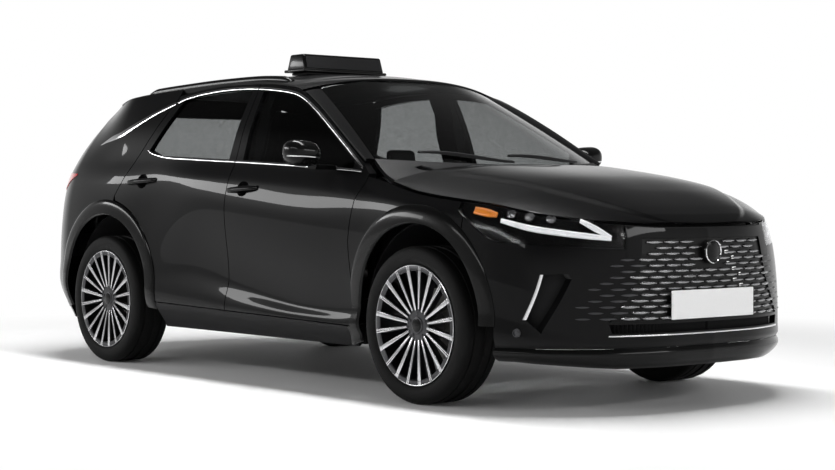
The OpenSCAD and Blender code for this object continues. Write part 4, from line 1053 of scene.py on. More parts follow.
def round_lens(name, s, z, profile, inset, wide):
    """A round lens on the skin from a profile of [radius, lift]; wide stretches it along the side."""
    st = Station(s)
    along = np.array([-st.out[1], st.out[0], 0]) * wide
    rows = [[st.at(z + r * math.sin(a), inset - lift)[0] + along * r * math.cos(a) for r, lift in profile]
            for a in np.linspace(0, FULL_TURN, 33)]
    return weld(grid_piece(name, rows))


FOG_PROFILE = ((19, 1), (19, 5), (15, 6), (14, 2), (8, 4), (0.1, 5))
fog = round_lens("fog_lamp_left", NOSE - 372, 372, FOG_PROFILE, 0, 1)
keep_pair(finish_panel(fog, 40), "body", "dark_alloy")
print("nose pieces", len(made))

# %% [markdown]
# ## Headlamps
# Each lamp is a dark bowl that follows the nose, with a bright blade of light along its lower edge, three
# round projectors, an amber corner and a clear cover over all of it. The lamp could be one painted block.
# It is built in layers, because light has to pass the cover and catch the pieces behind it.

# %% Headlamps
EYE_PROFILE = ((18, 0), (18, 5), (15, 6), (13, 3), (7, 6), (0.1, 7))
EYES = ((NOSE - 440, 898), (NOSE - 330, 886), (NOSE - 216, 876))
LOW_LIGHT = [[NOSE - 486, 868], [NOSE - 340, 838], [NOSE - 150, 812], [NOSE + 72, 788]]
HIGH_LIGHT = [[NOSE - 78, 868], [NOSE, 832], [NOSE + 72, 791]]
CORNER_LIGHT = [[NOSE - 655, 916], [NOSE - 590, 906], [NOSE - 518, 893]]


def lamp_grid(inset):
    return band_grid(span(LAMP_START, LAMP_END, 70), lamp_bottom, shut_line, 10, inset)


lamp_bowl = panel("lamp_bowl_left", lamp_grid(14.0), 14)
keep_pair(finish_panel(lamp_bowl), "body", "gloss_black", "headlamps")
keep_pair(finish_panel(panel("lamp_cover_left", lamp_grid(2.0), 3)), "body", "lamp_glass")
low_light = strip("light", LOW_LIGHT, [2, 7, 8, 8, 7, 2], -8, 8)
high_light = strip("light", HIGH_LIGHT, [2, 9, 3], -8, 8, 30)
keep_pair(join([low_light, high_light], "lamp_blade_left"), "body", "lamp_white")
keep_pair(strip("lamp_corner_left", CORNER_LIGHT, [13, 15, 14, 4], -7, 8, 24), "body", "amber_lens")
eyes = [round_lens("eye", s, z, EYE_PROFILE, 14, 1.25) for s, z in EYES]
keep_pair(finish_panel(join(eyes, "lamp_eyes_left"), 40), "body", "blade_metal")
print("lamps", len(made))

# %% [markdown]
# ## Bonnet
# The bonnet is one wide pressing, bowed across the car and down to the nose, with a soft crease on each
# side. It could be lofted between a few curves. Here each point comes from the side's edge and a middle
# line, so its hem runs along the wings and lamps at an even gap. It is thin at its hem and thicker
# inside.

# %% Bonnet
BONNET_MID = [[FRONT - 170, bz(-12)], [FRONT + 16, bz(-28)], [FRONT + 413, bz(-84)], [FRONT + 658, bz(-150)],
              [FRONT + 835, bz(-220)], [NOSE - 50, bz(-298)]]
BONNET_REAR, BONNET_FRONT = FRONT - 240, NOSE + 290
BOW_REAR, BOW_FRONT, CREASE = 88, 24, 11
ARM_Y, ARM_HALF = 620, 13
ARM = [[FRONT - 331, 1092], [FRONT - 299, 1092], [FRONT - 115, 1072], [FRONT - 115, 1086],
       [FRONT - 299, 1124], [FRONT - 331, 1124]]


def along_bonnet(s):
    """The share of the bonnet's length at a place, from 0 at its rear edge to 1 at the nose."""
    return (s - BONNET_REAR) / (BONNET_FRONT - BONNET_REAR)


def bonnet_point(st, s, u):
    p = st.at(st.rows[WINDOW_ROW][0], GAP)[0]
    t = along_bonnet(s)
    x = p[0] + (BOW_REAR + (BOW_FRONT - BOW_REAR) * t) * (1 - u * u)
    z = p[2] + (max(float(smooth(x, BONNET_MID)[0]), p[2]) - p[2]) * (1 - abs(u) ** 3.2)
    # a crease on each side lifts the middle of the bonnet a little and fades out at both ends
    step = min(1.0, max(0.0, (0.80 - 0.10 * t - abs(u)) / 0.09))
    lift = CREASE * step * step * (3 - 2 * step) * min(1.0, t / 0.1) * min(1.0, (1 - t) / 0.12)
    return [x, u * p[1], z + lift]


across = np.linspace(1, -1, 161)
rows, weights = [], []
for s in span(BONNET_REAR, BONNET_FRONT, 90):
    st, t = Station(s), along_bonnet(s)
    rows.append([bonnet_point(st, s, u) for u in across])
    inner = (LID_T * 0.9 - HEM) * min(1, (1 - t) / 0.2) ** 2
    weights += [(HEM + inner * min(1, (1 - abs(u)) / 0.12)) / LID_T for u in across]
bonnet = finish_panel(panel("bonnet_skin", rows, LID_T, weights))
arms = [prism(ARM, True, y - ARM_HALF, y + ARM_HALF) for y in (ARM_Y, -ARM_Y)]
keep(join([bonnet] + arms, "bonnet_skin"), "bonnet", "body_paint", "bonnet")
print("bonnet rows", len(rows))

# %% [markdown]
# ## Screen, cowl and pillars
# The screen is bent glass, and the cowl fills the trough between it and the bonnet. Both could be flat
# sheets, but a flat screen mirrors the sky in one piece. A function of two shares, across and up, gives
# the bent screen, and the cowl and the pillars start from its edges.

# %% Screen and cowl
TOP_HALF = 585  # half the screen's width at the roof
ARM_SLOT = 23


def screen_point(u, v):
    """A point of the screen: u goes from -1 at the right to 1 at the left, v from its base to its top."""
    base = np.array([FRONT - 220 - 278 * u * u, 765 * u, bz(-18) + 26 * u * u])
    top_z = float(roof_z(FRONT - 1146)[0]) - 2 - 50 * abs(u) ** 3
    top = np.array([FRONT - 1120 - 70 * u * u, TOP_HALF * u, top_z])
    bow = 60 * v * (1 - v) * (1 - 0.4 * u * u)
    return base + (top - base) * v + bow * np.array([0.5, 0, 0.87])


screen = [[screen_point(u, v) for u in np.linspace(1, -1, 60)] for v in np.linspace(1, 0, 40)]
keep(finish_panel(panel("screen", screen, GLASS_T)), "body", "tinted_glass", "windscreen")

st_rear = Station(BONNET_REAR)
rows = []
for k in np.linspace(0, 1, 8):
    row = []
    for u in np.linspace(1, -1, 60):
        a = screen_point(u, 0) + np.array([SEAT, 0, 4])
        b = np.array(bonnet_point(st_rear, BONNET_REAR, u * 0.98)) + np.array([-GAP - 6, 0, -2])
        row.append(a + (b - a) * k - np.array([0, 0, 14 * math.sin(math.pi * k)]))
    rows.append(row)
cowl = panel("cowl_cover", rows, 25)
# slots leave room for the bonnet's arms
arm_room = [[FRONT - 339, 900], [NOSE, 900], [NOSE, 1350], [FRONT - 339, 1350]]
for y in (ARM_Y, -ARM_Y):
    carve(cowl, prism(arm_room, True, y - ARM_SLOT, y + ARM_SLOT), "DIFFERENCE")
keep(finish_panel(cowl), "body", "dark_plastic", "cowl")
print("screen and cowl", len(made))

# %% [markdown]
# The windscreen pillar fills the band between the door's frame and the glass. A swept bar could stand
# there, but the band changes its width on the way up. So each row of the pillar's grid spans from the
# door's line to the screen's edge.

# %% Windscreen pillars
rows = []
for t in np.linspace(0.015, 1, 50):
    x = FRONT - 1186 + t * 686
    a = Station(x).at(top_line(x)[0] + FRAME_W + GAP + 5 + 15 * t**3)[0]
    b = screen_point(1, 1 - t) + np.array([0, SEAT, 0])
    rows.append([a + (b - a) * k + np.array([0, 0, 12 * k * (1 - k)]) for k in np.linspace(0, 1, 10)])
pillar = np.array(rows)
if pillar[0, 0, 1] < pillar[0, -1, 1]:
    pillar = pillar[:, ::-1]
keep_pair(finish_panel(panel("pillar_left", pillar, 40)), "body", "body_paint", "pillars")
print("pillar rows", len(rows))

# %% [markdown]
# The wipers park on the base of the screen. On the real car each is an arm with a rubber blade, and one
# ridged bar stands for both here. It could be a straight box, but the glass is bent, so the bar is laid
# along it by the screen's own function.

# %% Wipers
PARK = 0.015
WIPERS = ((0.62, -0.08, 0.075), (-0.10, -0.72, 0.085))
wipers = []
for u0, u1, v1 in WIPERS:
    rows = []
    for t in np.linspace(0, 1, 40):
        p = screen_point(u0 + (u1 - u0) * t, PARK + (v1 - PARK) * math.sin(t * 2.2) / math.sin(2.2) * t)
        high = 6 + 8 * math.sin(math.pi * t)
        rows.append([p + np.array(o) for o in ((10, 0, 5), (7, 0, high + 5), (-4, 0, high + 9), (-9, 0, 7))])
    wipers.append(panel("wiper", rows[::-1], 4))
keep(finish_panel(join(wipers, "wipers"), 40), "body", "dark_plastic")
print("wipers", len(WIPERS))

# %% [markdown]
# ## Roof
# The roof ends above the screen and above the tailgate, and a rail runs along each side of it. It could
# be a plain lid, but its front edge has to follow the bowed screen. So the last rows move forwards in the
# middle.

# %% Roof and rails
back = GLASS_T / 2 + 3 * SEAT
ROOF_TURN = FRONT - 1306  # where the roof starts to follow the screen
RAIL_START, RAIL_LENGTH, RAIL_HIGH, RAIL_SHARE = REAR + 60, 1380, 22, 0.9
RAIL_SECTION = ((14, 0.1), (13, 0.75), (8, 1), (-8, 1), (-13, 0.75), (-14, 0.1))


def roof_point(x, u):
    z = float(roof_edge_z(x)[0])
    y = flank_y(x, z)
    far = max(0.0, (x - ROOF_TURN) / 98) * (1 - abs(u) ** 8)
    xx = x + (screen_point(u * y / TOP_HALF, 1)[0] - back - x) * far
    return [xx, u * y, z + (float(roof_z(x)[0]) - z) * (1 - abs(u) ** 2.4)]


roof_across = np.sin(np.linspace(1, -1, 81) * math.pi / 2)
roof_along = np.concatenate([span(ROOF_REAR, ROOF_TURN, 72)[:-1], span(ROOF_TURN, FRONT - 1208, 12)])
rows = [[roof_point(x, u) for u in roof_across] for x in roof_along]
keep(finish_panel(panel("roof_skin", rows, LID_T * 0.8)), "body", "body_paint", "roof")

rows = []
for x in span(RAIL_START, RAIL_START + RAIL_LENGTH, 70):
    t = (x - RAIL_START) / RAIL_LENGTH
    high = RAIL_HIGH * min(1, math.sin(math.pi * min(max(t, 0.001), 0.999)) * 6) ** 0.5
    y = flank_y(x, float(roof_edge_z(x)[0]))
    rows.append([[x, RAIL_SHARE * y + w, roof_point(x, (RAIL_SHARE * y + w) / y)[2] + max(2, high * h)]
                 for w, h in RAIL_SECTION])
keep_pair(finish_panel(panel("rail_left", rows, 5), 50), "body", "gloss_black", "roof_rails")
print("roof pieces", len(made))

# %% [markdown]
# ## Tailgate
# The tailgate carries the rear window and a spoiler that reaches out over the glass. The spoiler could be
# a bent block. It is two grids, its upper and its lower face, whose open edges are bridged, so that it
# can run out to a thin edge.

# %% Tailgate and spoiler
heights = np.concatenate([np.linspace(696, 1500, 60)[:-1], np.linspace(1500, bz(458), 24)])
rows = [[tail_point(z, u) for z in heights] for u in np.linspace(-1, 1, 81)]
gate = panel("tailgate_skin", rows, LID_T * 0.9)
carve(gate, front_prism(TAIL_WINDOW, TAIL - 50, TAIL + 650), "DIFFERENCE")
finish_panel(gate)


def spoiler_point(u, v, under):
    """A point of the spoiler from its root (v = 0) to its tip (v = 1), on its upper or its under face."""
    z = bz(452) - 56 * v**1.4 - TOP_DROP * abs(u) ** 3 - under * (30 - 21 * v)
    return [TAIL + 706 - v * (225 - 70 * u * u), u * (556 - 36 * v), z]


top, bottom = [[[spoiler_point(u, v, under) for u in np.linspace(1, -1, 61)] for v in np.linspace(1, 0, 24)]
               for under in (0, 1)]
spoiler = join([grid_piece("spoiler", top), grid_piece("under", np.array(bottom)[:, ::-1])], "spoiler")
only(spoiler)
bpy.ops.object.mode_set(mode="EDIT")
bpy.ops.mesh.select_all(action="DESELECT")
bpy.ops.mesh.select_mode(type="EDGE")
bpy.ops.mesh.select_non_manifold()
bpy.ops.mesh.bridge_edge_loops()
bpy.ops.object.mode_set(mode="OBJECT")
weld(spoiler)
keep(join([gate, finish_panel(spoiler)], "tailgate_skin"), "tailgate", "body_paint", "tailgate")
print("tailgate faces", len(gate.data.polygons))

# %% [markdown]
# The rear window lies 10 mm inside the tailgate's skin, and a thin red lamp runs across below it. The
# lamp could be drawn on the paint. It is a raised strip of its own, so that it catches the light as a
# lens does.

# %% Rear window and light line
rows = [[tail_point(z, u, 10) for z in np.linspace(1150, 1500, 40)] for u in np.linspace(-1, 1, 61)]
pane = panel("tail_window", rows, GLASS_T)
carve(pane, front_prism(TAIL_WINDOW, TAIL - 50, TAIL + 650), "INTERSECT")
keep(finish_panel(pane), "tailgate", "tinted_glass", "tailgate_glass")
line_section = list(zip(np.linspace(1012, 1040, 5), (3, -3, -3, -3, 3)))
rows = [[tail_point(z, u, d) for z, d in line_section] for u in np.linspace(-0.97, 0.97, 61)]
keep(finish_panel(panel("tail_light_line", rows, 8), 50), "tailgate", "red_lens")
print("tail pieces", len(made))

# %% [markdown]
# ## Sign and plate
# The roof sign is a plain box on a foot, wider at its base and with a flange round it there. It could be
# one scaled cube, but a real case is moulded, so each part is a block with moved corners and rounded
# edges.

# %% Sign
CORNERS = ((-1, -1), (1, -1), (1, 1), (-1, 1))
SIGN_X, SIGN_LOW = mid(0.36), BELT + ROOF_RISE + 0.8
FOOT_HIGH, CASE_TAPER, CASE_HIGH = 14, 24, 94


def sign_block(name, low, high, bevel, segments=2):
    """A block on the roof; low and high give its half length, half width and height there."""
    corners = [[SIGN_X + a * long, b * wide, z] for long, wide, z in (low, high) for a, b in CORNERS]
    return block(name, corners, bevel, segments)


foot_piece = sign_block("sign_foot", (75, 260, SIGN_LOW), (75, 260, SIGN_LOW + FOOT_HIGH), 4)
keep(foot_piece, "body", "dark_plastic", "sign_mount")
z0 = SIGN_LOW + FOOT_HIGH + SEAT
flange = sign_block("flange", (95, 300, z0), (95, 300, z0 + 16), 5, 3)
shell = sign_block("sign", (88, 288, z0 + 10), (88 - CASE_TAPER, 280, z0 + 10 + CASE_HIGH), 12, 4)
keep(finish_panel(join([shell, flange], "sign_case"), 30), "body", "gloss_black", "sign_box")
FACE_SECTION = ((-268, -1), (-264, 1), (264, 1), (268, -1))
faces = []
for a in (1, -1):
    face = []
    for h in (24, 27, 88, 91):
        x = 89.2 - CASE_TAPER * (h - 10) / CASE_HIGH
        face.append([[SIGN_X + a * (x + d), y, z0 + h] for y, d in FACE_SECTION])
    pts = np.array(face) if a > 0 else np.array(face)[:, ::-1]
    faces.append(weld(panel("face", pts[::-1], 4)))
keep(finish_panel(join(faces, "sign_faces"), 40), "body", "dark_plastic")
print("sign pieces", len(made))

# %% [markdown]
# The number plate is a blank sheet with a pressed rim. The rim could be a bump in the material, but it
# shows from the side. So the front face is inset twice, the second time a little inwards.

# %% Plate
PLATE_HALF, PLATE_LOW, PLATE_HIGH = 280, 424, 130
RIM_WIDE, RIM_STEP, RIM_DEEP = 0.006, 0.003, -0.0015  # in metres, as the inset operator reads them
plate_plan = ((NOSE - 8, -PLATE_HALF), (NOSE - 1, -PLATE_HALF), (NOSE - 1, PLATE_HALF),
              (NOSE - 8, PLATE_HALF))
plate = block("plate", [[x, y, z] for z in (PLATE_LOW, PLATE_LOW + PLATE_HIGH) for x, y in plate_plan], 3, 3)
only(plate)
bpy.ops.object.mode_set(mode="EDIT")
bpy.ops.mesh.select_all(action="DESELECT")
bpy.ops.object.mode_set(mode="OBJECT")
for f in plate.data.polygons:
    f.select = f.normal.x > 0.99 and f.area > 0.01
bpy.ops.object.mode_set(mode="EDIT")
bpy.ops.mesh.inset(thickness=RIM_WIDE, depth=0)
bpy.ops.mesh.inset(thickness=RIM_STEP, depth=RIM_DEEP)
bpy.ops.object.mode_set(mode="OBJECT")
keep(finish_panel(plate, 30), "body", "plate_white", "number_plate")
print("plate faces", len(plate.data.polygons))

# %% [markdown]
# ## Mirrors
# Each mirror is a rounded housing on a short foot, with a bright line round it below its middle and a
# glass on the side that faces backwards. A cube with a subdivision surface would come out too round, so
# it starts from a sphere whose points are moved to a fuller, squarer form.

# %% Mirrors
MX, MY, MZ = FRONT - 790, HALF + 50, bz(42)
LONG, WIDE_Y, TALL, SLOPE, NARROW = 86, 88, 66, 6, 0.12
BACK = -0.62  # the housing is cut off flat here, where the glass sits
bpy.ops.mesh.primitive_uv_sphere_add(segments=64, ring_count=40, radius=1)
shell = bpy.context.object
shell.name = "mirror_left_shell"
co = np.array([v.co for v in shell.data.vertices])
co = np.sign(co) * np.abs(co) ** np.array([0.85, 0.62, 0.85])
co /= np.maximum(1, np.abs(co).max(axis=1))[:, None]
x, y, z = np.maximum(co[:, 0], BACK), co[:, 1], co[:, 2]
shape = np.c_[MX + LONG * x * (1 - NARROW * y), MY + WIDE_Y * y, MZ + TALL * z + SLOPE * y]
shell.data.vertices.foreach_set("co", (shape * MM).ravel())
shell.data.update()
foot_y = flank_y(MX + 40, bz(-42)) - 1
foot_outline = [[MX + 10, bz(-34)], [MX + 80, bz(-40)], [MX + 94, bz(-20)], [MX + 30, bz(-12)]]
foot_arm = prism(foot_outline, True, foot_y, MY - 30)
shell = finish_panel(join([weld(shell), foot_arm], "mirror_left_shell"), 40)
print("housing points", len(shell.data.vertices))

# %% [markdown]
# The bright line goes round the housing's front, and the glass is a flat disc with a rounded rim. Both
# could be cut from the housing, but they are separate parts on a real mirror and have finishes of their
# own.

# %% Mirror line and glass
ROUND = 2.6  # how square the housing is in plan
LINE_SECTION = ((-4, -1), (-2, 2), (2, 2), (4, -1))
GLASS_PROFILE = ((1, 0), (0.97, 5), (0.9, 6), (0.01, 6))
rows = []
for t in np.linspace(0, 1, 40):
    a = math.radians(-60 + 150 * t)
    x, y = 0.93 * max(0.0, math.cos(a)), math.sin(a)
    r = (abs(x) ** ROUND + abs(y) ** ROUND) ** (-1 / ROUND) * 0.985
    line_x = MX + LONG * x * r * (1 - NARROW * y * r)
    rows.append([[line_x + d, MY + WIDE_Y * y * r, MZ - 20 + h + SLOPE * y] for h, d in LINE_SECTION])
line_piece = finish_panel(panel("mirror_left_line", rows[::-1], 5), 50)
rows = []
for a in np.linspace(0, FULL_TURN, 49):
    c, s = math.cos(a), math.sin(a)
    rows.append([[MX - 50 - d, MY + r * 74 * c, MZ + r * 50 * s + 4 * c] for r, d in GLASS_PROFILE])
pane = finish_panel(weld(grid_piece("mirror_left_glass", rows)), 30)
mirror_parts = ((shell, "gloss_black", True), (line_piece, "bright_trim", False),
                (pane, "bright_trim", False))
for piece, finish, own in mirror_parts:
    twin = mirrored(piece, piece.name.replace("left", "right"))
    keep(piece, "door_front_left", finish, *(["mirror_left"] if own else []))
    keep(twin, "door_front_right", finish, *(["mirror_right"] if own else []))
print("mirror pieces", len(made))

# %% [markdown]
# ## Wheels
# The tyre is turned from a rounded profile with grooves in the tread, and the rim's barrel, its bright
# edge, the hub, the brake disc and the cap are turned too. A torus could stand for the tyre, but its wall
# would be round, and a real one is flat with a square shoulder.

# %% Tyre and rim
TYRE, RIM, WIDE = 372.0, 284.0, 235.0
bead, edge = RIM - 16, WIDE / 2 - 17 + SEAT
barrel = bead - 12
at = (FRONT, 820.0, TYRE)
half_tyre = [[bead + SEAT, edge - SEAT], [RIM + 4, edge], [RIM + 10, edge + 6], [RIM + 22, 115],
             [RIM + 36, 117.5], [RIM + 52, 116.5], [TYRE - 24, 114.5], [TYRE - 14, 110], [TYRE - 7, 104],
             [TYRE - 2, 94], [TYRE, 86], [TYRE, 64], [TYRE - 7, 62], [TYRE - 7, 54], [TYRE, 52], [TYRE, 14],
             [TYRE - 7, 12], [TYRE - 7, 4]]
tyre = lathe("tyre", half_tyre + [[r, -y] for r, y in half_tyre[::-1]] + [half_tyre[0]], 72, at)
rim_ring = lathe("rim", [[barrel, -edge - 9], [RIM, -edge - 9], [RIM, -edge], [bead, -edge], [bead, edge],
                         [RIM, edge], [RIM, edge + 7], [RIM - 3, edge + 9], [barrel + 6, edge + 9],
                         [barrel, edge + 4], [barrel, -edge - 9]], 96, at)
rim_lip = lathe("lip", [[RIM - 6, edge + 8], [RIM - 2, edge + 9.5], [RIM + 1, edge + 8], [RIM + 1, edge + 4],
                        [RIM - 6, edge + 4], [RIM - 6, edge + 8]], 96, at)
hub = lathe("hub", [[0, 92], [34, 92], [38, 90], [40, 86], [70, 86], [80, 82], [82, 76], [82, 62], [74, 60],
                    [74, -30], [30, -30], [30, 52], [0, 52], [0, 92]], 64, at)
disc = lathe("disc", [[30, -26], [170, -26], [170, -48], [30, -48], [30, -26]], 72, at)
cap = lathe("cap", [[0, 97], [22, 96.5], [31, 94], [33, 91], [0, 91], [0, 97]], 48, at)
print("tyre faces", len(tyre.data.polygons))

# %% [markdown]
# The rim has twenty slim spokes with dark sides and bright turned faces, and every other face is split in
# two. The faces could be painted on the spokes. They are thin bars of their own, because the cut edge
# between bright and dark is what shows. One bar of each kind is made from a cube, and copies are turned
# round the axle.

# %% Spokes
SPOKES, BOLTS, BOLT_CIRCLE, SPLIT_ANGLE = 20, 5, 57, 1.1
SPOKE_END, SPOKE_OUT = RIM - 4, 111.5


def turned(obj, angle):
    """A copy of a piece turned round the wheel's axle."""
    only(obj)
    bpy.ops.object.duplicate()
    twin = bpy.context.object
    co = np.array([v.co for v in twin.data.vertices]) / MM - np.array(at)
    c, s = math.cos(angle), math.sin(angle)
    co = np.c_[co[:, 0] * c - co[:, 2] * s, co[:, 1], co[:, 0] * s + co[:, 2] * c] + np.array(at)
    twin.data.vertices.foreach_set("co", (co * MM).ravel())
    twin.data.update()
    return twin


def bar(r0, r1, w0, w1, y0, y1, deep, bevel):
    """A tapered bar along the wheel's radius, with its face outwards."""
    plan = ((r0, -w0, y0), (r1, -w1, y1), (r1, w1, y1), (r0, w0, y0))
    corners = [[at[0] + r, at[1] + y - back_by, at[2] + w] for back_by in (deep, 0) for r, w, y in plan]
    return block("bar", corners, bevel)


sides, fronts = [], []
one_side = bar(66, barrel + 4, 7, 11, 88, 108, 36, 2)
wide_front = bar(70, SPOKE_END, 5.5, 12, 90, SPOKE_OUT, 3, 1.2)
thin_front = bar(76, SPOKE_END, 2.2, 3.6, 90.5, SPOKE_OUT, 3, 0.8)
for i in range(SPOKES):
    a = math.radians(360 / SPOKES * i + 9)
    sides.append(turned(one_side, a))
    if i % 2:
        fronts.append(turned(wide_front, a))
    else:
        fronts += [turned(thin_front, a + math.radians(k)) for k in (SPLIT_ANGLE, -SPLIT_ANGLE)]
for obj in (one_side, wide_front, thin_front):
    bpy.data.objects.remove(obj)
bolts = []
for i in range(BOLTS):
    a = math.radians(360 / BOLTS * i + 18)
    centre = (at[0] + BOLT_CIRCLE * math.cos(a), at[1], at[2] + BOLT_CIRCLE * math.sin(a))
    bolts.append(lathe("bolt", [[0, 90], [6, 90], [8, 88], [8, 84], [0, 84], [0, 90]], 12, centre))
dark = join(sides + [hub, rim_ring] + bolts, "rim_dark")
bright = join([rim_lip] + fronts, "rim_bright")
print("spoke faces", len(fronts))

# %% [markdown]
# One wheel is now complete, and the other three are copies with their own meshes. They could share one
# mesh, but each rides its own body.

# %% Four wheels
REAR_OUT = 5  # the rear wheels stand this much further out


def moved(obj, name, by):
    """A copy of a piece at another place."""
    only(obj)
    bpy.ops.object.duplicate()
    twin = bpy.context.object
    twin.name = name
    bpy.ops.object.mode_set(mode="EDIT")
    bpy.ops.mesh.select_all(action="SELECT")
    bpy.ops.transform.translate(value=Vector(by) * MM)
    bpy.ops.object.mode_set(mode="OBJECT")
    return twin


wheel_parts = [(tyre, "tyre", "tyre_rubber", "tyre"), (dark, "rim_dark", "dark_alloy", "rim"),
               (bright, "rim_bright", "wheel_alloy", None), (disc, "brake_disc", "bare_steel", None),
               (cap, "wheel_cap", "gloss_black", None)]
for piece, name, finish, node in wheel_parts:
    finish_panel(piece, 35)
    rear = moved(piece, f"{name}_rear_left", (REAR - FRONT, REAR_OUT, 0))
    piece.name = f"{name}_front_left"
    for obj, end in ((piece, "front"), (rear, "rear")):
        twin = mirrored(obj, f"{name}_{end}_right")
        for o, side in ((obj, "left"), (twin, "right")):
            keep(o, f"wheel_{end}_{side}", finish, *([f"{node}_{end}_{side}"] if node else []))
print("wheel pieces", len(made))

# %% [markdown]
# ## Seats
# Real car seats are foam under leather, drawn in by sewn channels. They could be sculpted, but foam
# bulges in a way that is hard to draw. Each cushion starts as a smaller rounded block, is remeshed evenly
# and blown up a little by Blender's cloth with pressure, and then gets its channels.

# %% Cushions
CLOTH_FRAMES, CLOTH_PRESSURE, CLOTH_QUALITY = 20, 4, 4
CUSHION_ROUND, CHANNEL_DEEP, CHANNEL_WIDE = 32, 9, 13


def blown_up(obj, points, puff):
    """The points after the cloth has swollen, each moved by puff at most."""
    cloth = obj.modifiers.new("foam", "CLOTH")
    cloth.settings.use_pressure = True
    cloth.settings.uniform_pressure_force = CLOTH_PRESSURE
    cloth.settings.effector_weights.gravity = 0
    cloth.settings.quality = CLOTH_QUALITY
    for f in range(1, CLOTH_FRAMES + 1):
        bpy.context.scene.frame_set(f)
    graph = bpy.context.evaluated_depsgraph_get()
    after = np.array([v.co for v in obj.evaluated_get(graph).data.vertices])
    obj.modifiers.remove(cloth)
    bpy.context.scene.frame_set(1)
    step = after - points
    far = np.linalg.norm(step, axis=1, keepdims=True)
    return points + step * np.minimum(1, puff * MM / np.maximum(far, 1e-9))


def set_points(obj, points):
    obj.data.vertices.foreach_set("co", points.ravel())
    obj.data.update()


def cushion(name, corners, channels, puff=20.0, voxel=14.0):
    obj = block(name, corners, CUSHION_ROUND, 4)
    mod = obj.modifiers.new("even", "REMESH")
    mod.mode, mod.voxel_size = "VOXEL", voxel * MM
    apply(obj, mod)
    points = np.array([v.co for v in obj.data.vertices])
    points = blown_up(obj, points, puff)
    set_points(obj, points)
    normals = np.array([v.normal for v in obj.data.vertices])
    centre = points[:, 1].mean()
    for y in channels:
        gap = np.abs(points[:, 1] - centre - y * MM)
        points = points - normals * (CHANNEL_DEEP * MM * np.exp(-((gap / (CHANNEL_WIDE * MM)) ** 2)))[:, None]
    set_points(obj, points)
    soft = obj.modifiers.new("round", "SUBSURF")
    soft.levels = soft.render_levels = 1
    apply(obj, soft)
    only(obj)
    bpy.ops.object.shade_smooth()
    return obj


# %% [markdown]
# Each seat has a base, a back and, in front, a head rest, on a plinth. They are drawn in the side view,
# where a seat's slopes show, and given a width. They could be one block each, but foam needs its own
# cushion to swell.

# %% Seats


def slab_corners(points, y, half):
    """Corners of a block across the car from four points of a side view, two below and two above."""
    (ax, az), (bx, b_z), (cx, cz), (dx, dz) = points
    return [[ax, y - half, az], [bx, y - half, b_z], [bx, y + half, b_z], [ax, y + half, az],
            [dx, y - half, dz], [cx, y - half, cz], [cx, y + half, cz], [dx, y + half, dz]]


x = mid(0.48)
SEAT_Y, BENCH_HALF = 370, 610
FRONT_SEATS = [
    ("front_base_left", [[x + 10, 440], [x + 470, 440], [x + 468, 570], [x + 60, 540]], 222, (-120, 120),
     "front_seats"),
    ("front_back_left", [[x - 40, 520], [x + 45, 555], [x - 150, 1085], [x - 222, 1068]], 218, (-110, 110),
     None),
    ("front_head_left", [[x - 215, 1118], [x - 165, 1128], [x - 182, 1250], [x - 232, 1245]], 105, (), None),
]
for name, points, half, channels, node in FRONT_SEATS:
    seat = cushion(name, slab_corners(points, SEAT_Y, half), channels)
    piece = keep_pair(seat, "body", "seat_leather", *([node] if node else []))
plinth_side = [[x + 10, 300.5], [x + 460, 300.5], [x + 470, 432], [x, 432]]
keep_pair(block("front_plinth_left", slab_corners(plinth_side, SEAT_Y, 200), 10), "body", "dark_plastic")
REAR_SEATS = [
    ("rear_base", [[REAR + 600, 440], [REAR + 950, 440], [REAR + 955, 575], [REAR + 610, 548]], "rear_seat"),
    ("rear_back", [[REAR + 490, 545], [REAR + 565, 575], [REAR + 395, 1095], [REAR + 325, 1080]], None),
]
for name, points, node in REAR_SEATS:
    seat = cushion(name, slab_corners(points, 0, BENCH_HALF), (-300, 0, 300), voxel=18.0)
    piece = keep(seat, "body", "seat_leather", *([node] if node else []))
bench_side = [[REAR + 570, 300.5], [REAR + 950, 300.5], [REAR + 950, 432], [REAR + 570, 432]]
keep(block("rear_plinth", slab_corners(bench_side, 0, 600), 10), "body", "dark_plastic")
print("pieces with the seats", len(made))

# %% [markdown]
# ## Studio
# The car stands on a pale floor. The floor could be a plain sheet, but its far end would turn grey. So
# its paint fades into an even white a few metres from the car, and the shadow stays.

# %% Floor
FLOOR_SIZE, FADE_START, FADE_END = 60, 2.7, 5.6
bpy.ops.mesh.primitive_plane_add(size=FLOOR_SIZE, location=(0, 0, 0))
floor = bpy.context.object
floor.name = "floor"
paper = material("floor_paint", (0.93, 0.93, 0.93), 0.6, noise=3, mottle=0.01)
nt = paper.node_tree
away = nt.nodes.new("ShaderNodeVectorMath")
away.operation = "LENGTH"
nt.links.new(nt.nodes["Texture Coordinate"].outputs["Object"], away.inputs[0])
fade = nt.nodes.new("ShaderNodeMapRange")
fade.interpolation_type = "SMOOTHSTEP"
fade.inputs["From Min"].default_value = FADE_START
fade.inputs["From Max"].default_value = FADE_END
nt.links.new(away.outputs["Value"], fade.inputs["Value"])
white = nt.nodes.new("ShaderNodeEmission")
both = nt.nodes.new("ShaderNodeMixShader")
nt.links.new(fade.outputs["Result"], both.inputs[0])
nt.links.new(nt.nodes["Principled BSDF"].outputs[0], both.inputs[1])
nt.links.new(white.outputs[0], both.inputs[2])
nt.links.new(both.outputs[0], nt.nodes["Material Output"].inputs["Surface"])
floor.data.materials.append(paper)
print("floor", FLOOR_SIZE, "m")

# %% [markdown]
# Gloss black shows only what it mirrors. A sun would leave one spot on it. Long soft boxes draw lines of
# light along the body instead: one over the car, two along its right side and one in front.

# %% Soft boxes


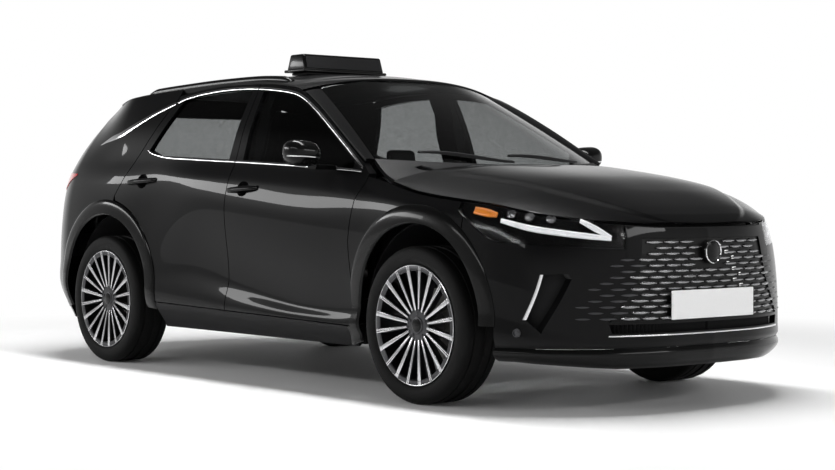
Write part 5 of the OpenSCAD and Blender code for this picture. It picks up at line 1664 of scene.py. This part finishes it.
def softbox(name, place, aim_at, size, power):
    data = bpy.data.lights.new(name, "AREA")
    data.shape, data.size, data.size_y, data.energy = "RECTANGLE", size[0], size[1], power
    lamp = bpy.data.objects.new(name, data)
    bpy.context.collection.objects.link(lamp)
    lamp.location = place
    lamp.rotation_euler = (Vector(aim_at) - Vector(place)).to_track_quat("-Z", "Y").to_euler()


softbox("box_top", (0, 0, 6), (0, 0, 0), (7, 0.8), 520)
softbox("box_side", (1, -8, 4.2), (0, 0, 0.6), (9, 0.6), 150)
softbox("box_rear", (-6.4, -5.6, 3.1), (-0.2, -0.9, 0.6), (4.5, 0.8), 140)
softbox("box_front", (9, 2, 3.6), (0, 0, 0.7), (5, 0.6), 120)
print("soft boxes", len(bpy.data.lights))

# %% [markdown]
# The room's walls are white near the floor and fade to a dim ceiling, and the wall beside the car's right
# rear is dimmer, so the doors stay black between their highlights. An even white room could light the car
# too, but the black paint would then look grey all over.

# %% Room
DIM_AXIS, DIM_START, DIM_END, DIM_LEAST = (0.45, 0.89, 0), -0.85, -0.15, 0.5
WALL_TOP, CEILING, CEILING_LIGHT = 0.14, 0.45, 0.12


def ramp(nt, value, start, end, first, last):
    """A factor that goes smoothly from first to last while a value goes from start to end."""
    node = nt.nodes.new("ShaderNodeMapRange")
    node.interpolation_type = "SMOOTHSTEP"
    for socket, number in (("From Min", start), ("From Max", end), ("To Min", first), ("To Max", last)):
        node.inputs[socket].default_value = number
    nt.links.new(value, node.inputs["Value"])
    return node.outputs["Result"]


world = bpy.data.worlds.new("studio")
bpy.context.scene.world = world
world.use_nodes = True
nt = world.node_tree
room = nt.nodes["Background"]
room.inputs["Color"].default_value = (1, 1, 1, 1)
toward = nt.nodes.new("ShaderNodeTexCoord").outputs["Generated"]
upward = nt.nodes.new("ShaderNodeSeparateXYZ")
nt.links.new(toward, upward.inputs[0])
sideways = nt.nodes.new("ShaderNodeVectorMath")
sideways.operation = "DOT_PRODUCT"
sideways.inputs[1].default_value = DIM_AXIS
nt.links.new(toward, sideways.inputs[0])
shade = nt.nodes.new("ShaderNodeMath")
shade.operation = "MULTIPLY"
wall = ramp(nt, upward.outputs["Z"], WALL_TOP, CEILING, 1.0, CEILING_LIGHT)
dim = ramp(nt, sideways.outputs["Value"], DIM_START, DIM_END, DIM_LEAST, 1.0)
nt.links.new(wall, shade.inputs[0])
nt.links.new(dim, shade.inputs[1])
nt.links.new(shade.outputs[0], room.inputs["Strength"])
bpy.context.scene.view_settings.view_transform = "Standard"
print("world nodes", len(nt.nodes))

# %% Pieces made
print("pieces", len(made))
